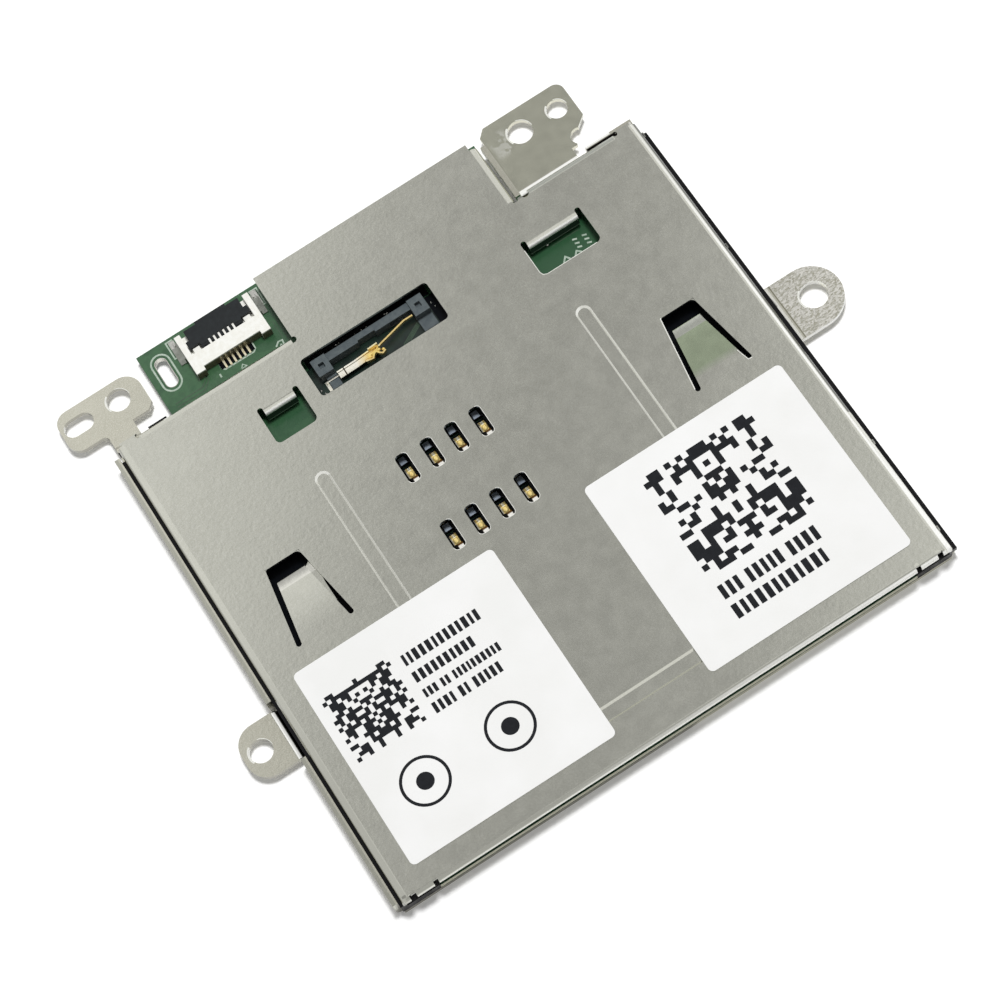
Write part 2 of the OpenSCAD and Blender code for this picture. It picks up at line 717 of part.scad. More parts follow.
// The left rail also ends in a lug that runs behind the cover
module guide_rail_left() color([0.06, 0.06, 0.07]) {
    y0 = cover_rear_y - rail_end - join;
    rail(board_x0 - join, lip_x0 - board_play) left_rail_section();
    translate([channel_x0, y0, board_top]) cube([lug_x[1] - channel_x0, lug_d, block_h]);
    translate([lug_x[0], y0, board_top]) cube([lug_x[1] - lug_x[0], wall_y1 - y0, block_h]);
}

module guide_rail_right() color([0.06, 0.06, 0.07])
    rail(lip_x1 + board_play, board_x1 + join) right_rail_section();

// Place of contact i: 1 to 4 in the rear row, 5 to 8 in the front row
function contact_x(i) = ((i - 1) % 4 - 1.5) * contact_pitch;
function contact_y(i) = (i <= 4 ? 0.5 : -0.5) * row_spacing - contact_l;

module contact_block() color([0.12, 0.12, 0.13])
    difference() {
        translate([-block_x, block_y0, board_top]) cube([2 * block_x, block_y1 - block_y0, block_h]);
        for (i = [1:contacts])
            translate([contact_x(i) - contact_w / 2 - contact_play,
                       contact_y(i) - contact_foot - contact_play, board_top - 1])
                cube([contact_w + 2 * contact_play,
                      contact_play + contact_foot + contact_l + contact_nose + contact_end_gap, block_h + 2]);
    }

module card_contact(i) color([0.85, 0.65, 0.25]) {
    t = contact_t / 2;
    translate([contact_x(i), contact_y(i), board_top]) side_view(-contact_w / 2, contact_w / 2)
        strip([[-contact_foot, t], [-contact_t, t], [contact_bend, contact_t],
               [contact_l - contact_bend, contact_rise - t], [contact_l, contact_rise],
               [contact_l + contact_nose, contact_rise - contact_bend]], contact_t);
}

module switch_body() color([0.2, 0.21, 0.23]) {
    hole_z = board_top + switch_h;
    difference() {
        union() {
            translate([switch_x0, switch_bar_y, board_top]) cube([switch_w, switch_bar_d, switch_bar_h]);
            for (x = [switch_x0, switch_x1 - switch_end_w])
                translate([x, post_y0, board_top]) cube([switch_end_w, switch_y1 - post_y0, switch_h]);
            for (x = [[switch_x0 + low_block_inset, switch_x0 + switch_end_w],
                      [switch_x1 - switch_end_w, switch_x1]])
                translate([x[0], low_block_y0, board_top])
                    cube([x[1] - x[0], post_y0 - low_block_y0 + join, low_block_h]);
        }
        for (x = [switch_x0 + switch_end_w / 2, switch_x1 - switch_end_w / 2])
            translate([x, (post_y0 + switch_y1) / 2, hole_z]) cube([post_hole, post_hole, 1], center = true);
        translate([bar_waist[0], switch_bar_y - 1, board_top - 1])
            cube([bar_waist[1] - bar_waist[0], 1 + bar_waist_d, switch_bar_h + 2]);
        translate([switch_x0, arm_root[1] - arm_t / 2 - arm_play, arm_z - arm_play / 2])
            cube([switch_end_w + 1, arm_t + 2 * arm_play, arm_h]);
        translate([pocket_x0, switch_bar_y - 1, arm_low_z + arm_low_h + arm_play - pocket_h])
            cube([pocket_x1 - pocket_x0, 1 + pocket_d, pocket_h]);
    }
}

// The arm with its root in the left block, its soldered tail and the hook that the card pushes
module switch_arm() color([0.85, 0.66, 0.3]) {
    free_x = switch_x0 + switch_end_w + arm_play;
    tall_points = [[free_x, arm_root[1]], arm_bend, arm_mid];
    translate([0, 0, arm_z]) {
        linear_extrude(arm_root_h)
            strip([[tail[2] - arm_t, arm_root[1]], [free_x + arm_t, arm_root[1]]], arm_t);
        linear_extrude(arm_h) strip(tall_points, arm_t);
        linear_extrude(arm_h + arm_tab_h) intersection() {
            strip(tall_points, arm_t);
            translate([arm_mid[0] - arm_tab_w, arm_root[1]]) square(arm_tab_w);
        }
    }
    translate([0, 0, arm_low_z]) linear_extrude(arm_low_h)
        strip([[arm_mid[0] - 2 * arm_t, arm_mid[1]], arm_mid, arm_turn, arm_end], arm_t);
    translate([0, 0, hook_z]) linear_extrude(hook_h) {
        strip(hook_points, arm_t);
        strip(hook_toe, arm_t);
    }
    translate([tail[0], tail[1], board_top + tail_gap]) cube([tail[2] - tail[0], tail[3] - tail[1], tail_h]);
}

// The fixed terminal stands at the back of the bar's pocket
module switch_terminal() color([0.8, 0.8, 0.78])
    translate([pocket_x1 - terminal_gap - terminal_w, switch_bar_y + pocket_d - terminal_t,
               arm_low_z + arm_low_h + arm_play - pocket_h])
        cube([terminal_w, terminal_t, pocket_h]);

// Place of cable contact i along X
function pin_x(i) = conn_x + (i - (ways + 1) / 2) * cable_pitch;

module connector_housing() color([0.93, 0.92, 0.88])
    difference() {
        union() {
            translate([conn_x0, conn_y0, board_top]) cube([conn_w, conn_block_d, conn_h]);
            translate([conn_x0, conn_y0, board_top]) cube([conn_w, conn_y1 - conn_y0, conn_base_h]);
            for (x = [conn_x0, conn_x1 - arm_w])
                translate([x, conn_y0, board_top]) cube([arm_w, conn_y1 - conn_y0, conn_h]);
            for (x = [conn_x0 + arm_w + bump_gap, conn_x1 - arm_w - bump_gap - bump_w])
                translate([x, conn_y0 + conn_block_d - join, board_top]) cube([bump_w, bump_l, bump_h]);
        }
        translate([conn_x0 + nose_side, conn_y0 - 1, board_top - 1])
            cube([conn_w - 2 * nose_side, 1 + nose_recess, conn_h + 2]);
        for (i = [1:ways])
            translate([pin_x(i) - pin_w / 2 - pin_play, conn_y0 - 1, board_top - 1])
                cube([pin_w + 2 * pin_play, 1 + pin_slot_l, 1 + conn_h - pin_roof]);
    }

// The latch lies over the cable's end, and its comb teeth reach between the cable contacts
module connector_latch() color([0.1, 0.1, 0.12]) {
    x0 = conn_x0 + arm_w + latch_play;
    x1 = conn_x1 - arm_w - latch_play;
    y1 = conn_y1 + latch_end;
    z0 = conn_top - latch_t;
    notch = bump_w + bump_gap + latch_play;
    difference() {
        union() {
            translate([x0, latch_y0 + comb_l, z0]) cube([x1 - x0, y1 - latch_y0 - comb_l, latch_t]);
            translate([x0 + notch, latch_pivot[0], latch_pivot[1]]) rotate([0, 90, 0])
                cylinder(h = x1 - x0 - 2 * notch, r = latch_pivot_r);
            translate([x0 + notch, latch_pivot[0], latch_pivot[1]])
                cube([x1 - x0 - 2 * notch, comb_l, conn_top - latch_pivot[1]]);
            translate([conn_x - latch_bulge[0] / 2, y1 - join, z0])
                cube([latch_bulge[0], latch_bulge[1], latch_t]);
        }
        for (i = [1:ways])
            translate([pin_x(i) - comb_w / 2, latch_y0 - 1, z0 - 1]) cube([comb_w, 1 + comb_l, latch_t + 2]);
        for (x = [x0, x1 - latch_corner[0]])
            translate([x - join, y1 - latch_corner[1], z0 - 1])
                cube([latch_corner[0] + 2 * join, latch_corner[1] + 1, latch_t + 2]);
    }
}

module connector_contact(i) color([0.8, 0.7, 0.45]) {
    z = board_top;
    t = pin_t / 2;
    y = conn_y0 + nose_recess + pin_bend;
    riser_z = z + 2 * pin_bend;
    side_view(pin_x(i) - pin_w / 2, pin_x(i) + pin_w / 2) {
        strip([[pin_y0, z + t], [y, z + t], [y + pin_bend, riser_z],
               [y + 2 * pin_bend, z + conn_base_h + t], [pin_tip_y, z + conn_base_h + t]], pin_t);
        strip([[y + pin_bend, riser_z], [y + pin_bend + t, z + pin_arm_z], [latch_y0, z + pin_arm_z]], pin_t);
    }
}

// A solder anchor on the housing's side: side is -1 for the left one and 1 for the right one
module anchor(side) color([0.8, 0.8, 0.78]) {
    face_x = side < 0 ? conn_x0 : conn_x1;
    y0 = conn_y1 - anchor_l - anchor_inset;
    translate([side < 0 ? face_x - anchor_w : face_x, y0, board_top]) cube([anchor_w, anchor_l, anchor_t]);
    translate([side < 0 ? face_x - anchor_t : face_x, y0, board_top]) cube([anchor_t, anchor_l, anchor_h]);
}

module controller_chip() color([0.1, 0.1, 0.1])
    translate([chip_at[0], chip_at[1], board_top + chip_h / 2]) cube([chip_w, chip_w, chip_h], center = true);

module crystal() color([0.75, 0.75, 0.72])
    translate([crystal_at[0], crystal_at[1], board_top]) {
        linear_extrude(crystal_size[2])
            round_rect(-crystal_size[0] / 2, -crystal_size[1] / 2, crystal_size[0] / 2, crystal_size[1] / 2,
                       crystal_r);
    }

// A small two-ended part at a place: its ends stand a little proud of its body
module chip_component(at) {
    s = chip_part;
    translate([at[0], at[1], board_top]) {
        translate([-s[0] / 2, -s[1] / 2 + chip_lip, chip_lip])
            cube([s[0], s[1] - 2 * chip_lip, s[2] - 2 * chip_lip]);
        for (x = [-s[0] / 2, s[0] / 2 - chip_cap]) translate([x, -s[1] / 2, 0]) cube([chip_cap, s[1], s[2]]);
    }
}

module capacitor(i) color([0.6, 0.5, 0.38]) chip_component(capacitor_at[i - 1]);

module resistor(i) color([0.12, 0.12, 0.12]) chip_component(resistor_at[i - 1]);

module label(at) color([0.96, 0.96, 0.95])
    translate([at[0], at[1], top_z]) linear_extrude(label_t)
        round_rect(-label_w / 2, -label_w / 2, label_w / 2, label_w / 2, label_r);

cover();
mounting_frame();
insulating_film();
circuit_board();
guide_rail_left();
guide_rail_right();
contact_block();
for (i = [1:contacts])
    card_contact(i);
switch_body();
switch_arm();
switch_terminal();
connector_housing();
connector_latch();
for (i = [1:ways])
    connector_contact(i);
anchor(-1);  // connector_anchor_left
anchor(1);  // connector_anchor_right
controller_chip();
crystal();
for (i = [1:small_parts]) {
    capacitor(i);
    resistor(i);
}
label(left_label);  // label_left
label(right_label);  // label_right
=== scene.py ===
"""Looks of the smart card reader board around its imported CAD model.

Sizes are in millimetres in the CAD's frame: X along the contact rows, Y the way the card goes in, Z up.
Colours are (red, green, blue) from 0 to 255, as read from a picture.
"""

import json
import math
import random

import bmesh
import bpy
from mathutils import Matrix, Vector


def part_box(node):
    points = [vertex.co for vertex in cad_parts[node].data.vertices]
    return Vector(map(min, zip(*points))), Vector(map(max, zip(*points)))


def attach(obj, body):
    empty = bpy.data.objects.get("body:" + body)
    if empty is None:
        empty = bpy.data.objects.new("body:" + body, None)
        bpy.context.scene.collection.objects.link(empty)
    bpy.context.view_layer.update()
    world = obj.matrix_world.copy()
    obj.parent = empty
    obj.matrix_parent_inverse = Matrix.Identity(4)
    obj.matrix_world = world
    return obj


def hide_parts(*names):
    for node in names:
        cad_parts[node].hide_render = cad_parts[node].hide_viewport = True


MM = 0.001
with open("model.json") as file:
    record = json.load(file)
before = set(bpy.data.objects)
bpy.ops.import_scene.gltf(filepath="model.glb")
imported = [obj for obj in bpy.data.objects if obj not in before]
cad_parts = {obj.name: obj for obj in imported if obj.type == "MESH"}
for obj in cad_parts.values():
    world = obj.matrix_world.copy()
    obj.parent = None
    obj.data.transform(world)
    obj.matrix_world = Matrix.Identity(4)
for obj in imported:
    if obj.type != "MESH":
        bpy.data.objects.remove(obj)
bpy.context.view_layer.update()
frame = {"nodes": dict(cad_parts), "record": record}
nodes = frame["nodes"]
random.seed(11)


def corner(node, high):
    """A node's lowest or highest corner at rest, in millimetres."""
    return [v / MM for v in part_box(node)[1 if high else 0]]


# Heights in the stack of sheets
BOARD_TOP = corner("circuit_board", True)[2]
BLOCK_TOP = corner("contact_block", True)[2]
COVER_TOP = corner("label_left", False)[2]
LABEL_TOP = corner("label_left", True)[2]
EAR_TOP = 1.3
SHEET = 0.3
BOARD_T = 0.6

# Edges of the cover, and the inner face of the frame's rear wall
FRONT_Y = corner("cover", False)[1]
COVER_X1 = corner("cover", True)[0]
REAR_Y = 20.9
WALL_Y = 21.05

# The card contacts' grid: the middle of each window, row by row
PITCH = 2.54
ROW_Y = 3.81
CONTACTS = [((i - 1.5) * PITCH, row) for row in (ROW_Y, -ROW_Y) for i in range(4)]

# Middles of the bead's two side runs, how far they reach along Y, and middles of the card springs
BEAD_X = (-10.55, 16.75)
BEAD_Y = (-24, 8.3)
SPRING_X = (-17.45, 23.65)

# The cable connector's contacts: how many, where the first one's tail is, and from one to the next
WAYS = 6
TAIL_X = -12.2
TAIL_PITCH = 0.5


def link(obj):
    bpy.context.scene.collection.objects.link(obj)
    return obj


# Camera and light

def placed(at, right, up, back):
    """A matrix that puts a camera at a point in millimetres, with its axes."""
    rows = [(*(axis[i] for axis in (right, up, back)), at[i] * MM) for i in range(3)]
    return Matrix((*rows, (0, 0, 0, 1)))


camera = link(bpy.data.objects.new("camera", bpy.data.cameras.new("camera")))
camera.data.lens = 115.14
camera.data.sensor_width = 36
camera.data.clip_start = 0.01
camera.matrix_world = placed(
    at=(-18.405, -110.882, 258.162),
    right=(0.840364, -0.519656, -0.154097),
    up=(0.537369, 0.761593, 0.362231),
    back=(-0.070876, -0.387213, 0.919262),
)
bpy.context.scene.camera = camera


def lamp(name, direction, distance, size, power):
    """A square soft light that shines on the part from a direction, and that metal doesn't mirror."""
    data = bpy.data.lights.new(name, "AREA")
    data.size = size * MM
    data.energy = power
    obj = link(bpy.data.objects.new(name, data))
    obj.location = Vector(direction).normalized() * distance * MM
    obj.rotation_euler = Vector(direction).to_track_quat("Z", "Y").to_euler()
    obj.visible_glossy = False


lamp("key", direction=(0.13, 0.11, 1), distance=800, size=150, power=4.95)

# The studio's room: metal mirrors a grey ceiling with white soft boxes at the rear left, at the front
# right and low all round. The boxes add to the ceiling, and the fill light falls on what isn't metal.
CEILING = 0.44
SOFT_BOX = 0.56
FILL_LIGHT = 0.26

world = bpy.data.worlds.new("studio")
world.use_nodes = True
bpy.context.scene.world = world
tree = world.node_tree


def world_math(operation, a, b=0.0):
    made = tree.nodes.new("ShaderNodeMath")
    made.operation = operation
    for socket, value in zip(made.inputs, (a, b)):
        if isinstance(value, bpy.types.NodeSocket):
            tree.links.new(value, socket)
        else:
            socket.default_value = value
    return made.outputs[0]


def world_step(value, low, high):
    """A soft step from 0 at low to 1 at high."""
    made = tree.nodes.new("ShaderNodeMapRange")
    made.interpolation_type = "SMOOTHSTEP"
    tree.links.new(value, made.inputs["Value"])
    made.inputs["From Min"].default_value = low
    made.inputs["From Max"].default_value = high
    return made.outputs[0]


split = tree.nodes.new("ShaderNodeSeparateXYZ")
tree.links.new(tree.nodes.new("ShaderNodeTexCoord").outputs["Generated"], split.inputs[0])
# Where a direction meets a level ceiling, as shares of the ceiling's height
up = world_math("MAXIMUM", split.outputs["Z"], 0.05)
across = world_math("DIVIDE", split.outputs["X"], up)
along = world_math("DIVIDE", split.outputs["Y"], up)
rear_left = world_step(world_math("SUBTRACT", along, world_math("MULTIPLY", across, 1.4)), 0.375, 0.5)
front_right = world_step(world_math("SUBTRACT", world_math("MULTIPLY", across, 2), along), -0.07, 0.08)
horizon = world_step(split.outputs["Z"], 0.66, 0.42)
boxes = world_math("MAXIMUM", world_math("MAXIMUM", rear_left, front_right), horizon)
room = world_math("ADD", world_math("MULTIPLY", boxes, SOFT_BOX), CEILING)
path = tree.nodes.new("ShaderNodeLightPath")
glossy = path.outputs["Is Glossy Ray"]
seen = world_math("MAXIMUM", path.outputs["Is Camera Ray"], path.outputs["Is Transmission Ray"])
mirrored = world_math("MULTIPLY", glossy, room)
fill = world_math("MULTIPLY", world_math("SUBTRACT", 1, glossy), FILL_LIGHT)
strength = world_math("MAXIMUM", world_math("MAXIMUM", seen, mirrored), fill)
tree.links.new(strength, tree.nodes["Background"].inputs["Strength"])
tree.nodes["Background"].inputs["Color"].default_value = (1, 1, 1, 1)


# Materials

def linear(r, g, b):
    """A colour as read from a picture, 0 to 255, as Blender's linear colour."""
    out = [((c / 255 + 0.055) / 1.055) ** 2.4 if c > 10 else c / 255 / 12.92 for c in (r, g, b)]
    return (*out, 1)


class Surface:
    """A procedural material under construction. Lengths in it are in millimetres."""

    def __init__(self, name, colour, roughness, metallic=0.0, coat=0.0, specular=0.5):
        self.material = bpy.data.materials.new(name)
        self.material.use_nodes = True
        self.tree = self.material.node_tree
        self.shader = self.tree.nodes["Principled BSDF"]
        self.shader.inputs["Base Color"].default_value = linear(*colour)
        self.shader.inputs["Roughness"].default_value = roughness
        self.shader.inputs["Metallic"].default_value = metallic
        self.shader.inputs["Coat Weight"].default_value = coat
        self.shader.inputs["Specular IOR Level"].default_value = specular
        coordinates = self.node("ShaderNodeTexCoord")
        self.point = coordinates.outputs["Object"]
        self.normal = coordinates.outputs["Normal"]

    def node(self, kind, **values):
        made = self.tree.nodes.new(kind)
        for key, value in values.items():
            setattr(made, key, value)
        return made

    def feed(self, socket, value):
        if isinstance(value, bpy.types.NodeSocket):
            self.tree.links.new(value, socket)
        else:
            socket.default_value = value

    def stretched(self, scale, turn):
        """The point, turned about Z and scaled, so that a pattern is drawn out along one axis."""
        made = self.node("ShaderNodeMapping")
        self.feed(made.inputs["Vector"], self.point)
        made.inputs["Rotation"].default_value = (0, 0, math.radians(turn))
        made.inputs["Scale"].default_value = scale
        return made.outputs[0]

    def noise(self, size, detail=2.0, rough=0.5, point=None):
        """Soft noise whose features are about size across, from 0 to 1."""
        made = self.node("ShaderNodeTexNoise")
        self.feed(made.inputs["Vector"], point or self.point)
        made.inputs["Scale"].default_value = 1 / (size * MM)
        made.inputs["Detail"].default_value = detail
        made.inputs["Roughness"].default_value = rough
        return made.outputs["Fac"]

    def cells(self, size, point=None, output="Distance"):
        """Random cells about size across: the distance to each one's middle, or its own colour."""
        made = self.node("ShaderNodeTexVoronoi")
        self.feed(made.inputs["Vector"], point or self.point)
        made.inputs["Scale"].default_value = 1 / (size * MM)
        return made.outputs[output]

    def between(self, value, low, high, out_low=0.0, out_high=1.0):
        """A value's way from low to high, as a clamped way from out_low to out_high."""
        made = self.node("ShaderNodeMapRange", clamp=True)
        for key, v in (("Value", value), ("From Min", low), ("From Max", high),
                       ("To Min", out_low), ("To Max", out_high)):
            self.feed(made.inputs[key], v)
        return made.outputs[0]

    def along(self, name, low, high, out_low=0.0, out_high=1.0):
        """The same for the point's place along an axis, in millimetres."""
        return self.between(self.axis(self.point, name), low * MM, high * MM, out_low, out_high)

    def math(self, operation, a, b=0.0):
        made = self.node("ShaderNodeMath", operation=operation)
        self.feed(made.inputs[0], a)
        self.feed(made.inputs[1], b)
        return made.outputs[0]

    def times(self, a, b):
        return self.math("MULTIPLY", a, b)

    def axis(self, vector, name):
        made = self.node("ShaderNodeSeparateXYZ")
        self.feed(made.inputs[0], vector)
        return made.outputs[name]

    def region(self, soft=0.04, **limits):
        """1 inside a box given as x=(low, high) and so on in millimetres, with soft sides."""
        mask = 1.0
        for name, (low, high) in limits.items():
            rise = self.along(name.upper(), low - soft, low + soft)
            fall = self.along(name.upper(), high + soft, high - soft)
            mask = self.times(mask, self.times(rise, fall))
        return mask

    def any(self, *masks):
        joined = masks[0]
        for mask in masks[1:]:
            joined = self.math("MAXIMUM", joined, mask)
        return joined

    def mix(self, amount, a, b):
        """Colour a, and colour b where the amount is 1."""
        made = self.node("ShaderNodeMix", data_type="RGBA")
        self.feed(made.inputs[0], amount)
        for socket, colour in ((made.inputs[6], a), (made.inputs[7], b)):
            self.feed(socket, colour if isinstance(colour, bpy.types.NodeSocket) else linear(*colour))
        return made.outputs[2]

    def colour(self, value):
        self.feed(self.shader.inputs["Base Color"], value)

    def roughness(self, low, high, size, detail=2):
        """Roughness that wanders between two values over a size."""
        value = self.between(self.noise(size, detail), 0.3, 0.7, low, high)
        self.feed(self.shader.inputs["Roughness"], value)

    def bump(self, height, depth, before=None):
        """Relief of a depth in millimetres from a height of 0 to 1."""
        made = self.node("ShaderNodeBump")
        made.inputs["Distance"].default_value = depth * MM
        made.inputs["Strength"].default_value = 1
        self.feed(made.inputs["Height"], height)
        if before:
            self.feed(made.inputs["Normal"], before)
        self.feed(self.shader.inputs["Normal"], made.outputs[0])
        return made.outputs[0]


def sheet_metal(name, colour, dark, light, roughness, grain, marks):
    """Plated sheet: a soft broad mottle, a fine speckle, sparse dust, and the part's own marks of painted
    shade, light and highlights.
    """
    s = Surface(name, colour, roughness, metallic=1.0)
    fine = s.noise(grain, 2, 0.7)
    base = s.mix(s.between(s.noise(9, 3, 0.6), 0.35, 0.65), dark, colour)
    base = s.mix(s.between(fine, 0.42, 0.66), base, light)
    specks = s.between(s.cells(3.4), 0.020, 0.010)
    dusty = s.between(s.noise(5, 0), 0.52, 0.56)
    base = s.mix(s.times(specks, dusty), base, (250, 250, 248))
    # The marks paint shade and light into the colour, and the painted highlights turn it pale and less
    # metallic
    base, painted_highlight = marks(s, base)
    s.colour(s.mix(painted_highlight, base, (252, 252, 248)))
    s.feed(s.shader.inputs["Metallic"], s.between(painted_highlight, 0, 1, 1, 0.2))
    s.roughness(roughness - 0.02, roughness + 0.03, 1.3, 3)
    first = s.bump(fine, 0.0008)
    s.bump(s.noise(0.42, 2), 0.005, first)
    return s.material


# Where the cover's right bend turns from painted shade at the rear to painted light at the front, and how
# far its lips reach along X
SIDE_TURN_Y = -14
STOPS_X = (-13, 23)
LIP_X = (-24, 30)


def cover_marks(s, base):
    """Painted shade and light on the cover's bends, springs and stop lips, and its painted highlights."""
    # Painted shade: the rear part of the right bend darker
    right_bend = s.region(x=(COVER_X1 - 0.4, COVER_X1 + 1), y=(SIDE_TURN_Y, REAR_Y + 1))
    base = s.mix(right_bend, base, (112, 113, 109))
    # Painted shade on the outer edge of the right bend's front part
    right_edge = s.region(x=(COVER_X1 - 0.16, COVER_X1 + 1), y=(FRONT_Y, SIDE_TURN_Y))
    base = s.mix(right_edge, base, (158, 158, 152))
    # Painted shade on the left bend, strongest at the front
    left_bend = s.times(s.region(x=(-30, -23.75), soft=0.1), s.along("Y", 6, -18))
    base = s.mix(left_bend, base, (174, 174, 165))
    # Painted shade on the left edge
    left_edge = s.region(x=(-30, -24.24), y=(FRONT_Y, REAR_Y))
    base = s.mix(left_edge, base, (160, 160, 152))
    # Painted shade on the front bend's top
    front_bend = s.region(y=(FRONT_Y - 1, FRONT_Y + 0.34), z=(2.96, 4), x=(-24, 29.9))
    base = s.mix(front_bend, base, (158, 158, 150))
    # Painted shade along the rear right bend
    rear_right = s.region(y=(20.25, 22), x=(17.9, 28.2))
    base = s.mix(rear_right, base, (166, 168, 160))
    # Painted light: the right spring lighter and greener
    right_spring = s.region(z=(2, COVER_TOP - 0.06), y=(-4.6, 1.5), x=(19, 28))
    base = s.mix(right_spring, base, (182, 194, 166))
    # Painted light on the springs' tips
    tips = s.region(y=(0.56, 1.34), z=(2, COVER_TOP - 0.1))
    base = s.mix(s.times(tips, s.region(x=(-21, -14))), base, (228, 227, 218))
    base = s.mix(s.times(tips, s.region(x=(20, 27))), base, (204, 206, 196))
    # Painted shade on the lower part of the stop lips
    stop_foot = s.region(y=(15.2, 16.3), z=(1, COVER_TOP - 0.58), x=STOPS_X)
    base = s.mix(stop_foot, base, (44, 52, 48))
    return base, cover_painted_highlights(s)


def cover_painted_highlights(s):
    """Painted highlights on the cover's bends, front lip, stop lips and bead, from 0 to 1."""
    thin = s.region(x=(COVER_X1 - 0.68, COVER_X1 - 0.46), y=(FRONT_Y, REAR_Y))
    thin = s.times(thin, s.along("Y", 20, 4, 0.5, 0.95))
    wide = s.region(x=(COVER_X1 - 0.64, COVER_X1 - 0.25), y=(FRONT_Y, SIDE_TURN_Y))
    wide = s.times(wide, s.along("Y", -13, -22))
    rightward = s.along("X", -24, 26)
    lip = s.region(y=(FRONT_Y - 1, FRONT_Y + 0.03), z=(2.5, 2.9), x=LIP_X)
    lip = s.times(lip, s.between(rightward, 0, 1, 0.35, 1))
    lip_top = s.region(y=(FRONT_Y + 0.03, FRONT_Y + 0.2), z=(2.9, 4), x=LIP_X)
    lip_top = s.times(lip_top, s.between(rightward, 0.3, 1, 0, 0.9))
    stops = s.region(y=(15.55, 16.05), z=(COVER_TOP - 0.54, COVER_TOP - 0.12), x=STOPS_X)
    stop_edge = s.times(s.region(y=(15.3, 16.1), z=(1.5, 1.72), x=STOPS_X), 0.4)
    left_x, right_x = BEAD_X
    reach = 0.9
    runs = s.any(
        s.times(s.region(x=(left_x - reach, left_x + reach), y=BEAD_Y), 0.5),
        s.times(s.region(x=(right_x - reach, right_x), y=BEAD_Y), 0.68),
        s.times(s.region(x=(right_x, right_x + reach), y=BEAD_Y), 0.25),
    )
    sloped = s.between(s.math("ABSOLUTE", s.axis(s.normal, "Z")), 0.97, 0.85)
    return s.any(thin, wide, lip, lip_top, stops, stop_edge, s.times(sloped, runs))


# The upper face of the ears along Z, and the right ear along Y
EAR_FACE = (EAR_TOP - 0.1, EAR_TOP + 0.1)
RIGHT_EAR_Y = (-6, 1.5)


def frame_marks(s, base):
    """Painted shade on the frame's steep walls, left wall, right groove and rear slit, tones of its rear
    ear and right ear, and its painted highlights.
    """
    steep = s.between(s.math("ABSOLUTE", s.axis(s.normal, "Z")), 0.5, 0.3)
    # Painted shade on steep walls in the left half
    left_half = s.along("X", 5, 4)
    base = s.mix(s.times(steep, left_half), base, (152, 150, 140))
    # Painted shade on the left wall's top
    left_wall = s.region(x=(-25.4, -24.92), y=(-30, REAR_Y), z=(1, 3))
    base = s.mix(left_wall, base, (182, 182, 170))
    rear_ear = s.region(x=(17, 28), y=(21.9, 30), z=EAR_FACE)
    base = s.mix(rear_ear, base, (190, 190, 174))
    right_ear = s.region(x=(31.78, 40), y=RIGHT_EAR_Y, z=EAR_FACE)
    base = s.mix(right_ear, base, crystals(s))
    # Painted shade in the groove beside the right ear
    right_groove = s.region(x=(31.66, 31.76), y=(-5.3, 0.7), z=(1, 1.4))
    base = s.mix(right_groove, base, (132, 130, 110))
    # Painted shade: the rear slit near black
    slit = s.region(x=(25.6, 28.7), y=(REAR_Y, WALL_Y + 0.22), z=(1.3, 2.6))
    base = s.mix(slit, base, (16, 16, 14))
    return base, frame_painted_highlights(s, steep)


def crystals(s):
    """The colour of zinc crystals that are drawn out aslant."""
    point = s.stretched((1, 1.7, 1), -35)
    streak = s.noise(0.16, 4, 0.7, point)
    flake = s.axis(s.cells(0.2, point, output="Color"), "X")
    pattern = s.math("ADD", s.times(streak, 0.6), s.times(flake, 0.4))
    return s.mix(s.between(pattern, 0.32, 0.62), (184, 182, 166), (238, 236, 228))


def frame_painted_highlights(s, steep):
    """Painted highlights on the frame's bends, a crumpled corner and the ears' sheared edges, from 0 to 1.
    """
    rear_bend = s.region(x=(18.62, 24.9), y=(21.36, 21.84), z=(0.9, 1.4))
    rear_wall = s.region(x=(25.65, 28.3), y=(WALL_Y + 0.3, WALL_Y + 0.6), z=(2.3, 2.5))
    left_bend = s.region(x=(-25.36, -25.04), y=(-12.9, -7.95), z=(0.9, 1.4))
    right_bend = s.times(s.region(x=(31.1, 31.5), y=(-5.3, 0.65), z=(1, 1.4)), 0.5)
    crumple = s.region(x=(19.0, 20.7), y=(25.7, 28.2), z=EAR_FACE, soft=0.25)
    crumple = s.times(s.times(crumple, s.between(s.noise(0.8, 3), 0.47, 0.53)), 0.55)
    ears = s.any(s.region(x=(-40, -25.9)), s.region(x=(18, 29), y=(22, 30)))
    glint = s.times(steep, s.between(s.axis(s.normal, "X"), 0.62, 0.82))
    glint = s.times(s.times(glint, ears), 0.9)
    front = s.times(steep, s.between(s.axis(s.normal, "Y"), -0.4, -0.7))
    front = s.times(front, s.region(x=(31.3, 40), y=RIGHT_EAR_Y))
    return s.any(rear_bend, rear_wall, left_bend, right_bend, crumple, glint, front)


COVER = sheet_metal(
    "cover_sheet", colour=(202, 202, 191), dark=(198, 198, 187), light=(208, 208, 198),
    roughness=0.17, grain=0.13, marks=cover_marks,
)
FRAME = sheet_metal(
    "frame_sheet", colour=(207, 205, 190), dark=(198, 196, 181), light=(214, 212, 198),
    roughness=0.2, grain=0.11, marks=frame_marks,
)


def plastic(name, colour, other, roughness, grain=0.12, depth=0.002, specular=0.5):
    """Moulded plastic with a slight grain and a little variation of tone."""
    s = Surface(name, colour, roughness, specular=specular)
    s.colour(s.mix(s.between(s.noise(grain * 4, 3, 0.6), 0.35, 0.65), colour, other))
    s.roughness(roughness - 0.06, roughness + 0.06, grain * 2)
    s.bump(s.noise(grain, 2, 0.6), depth)
    return s.material


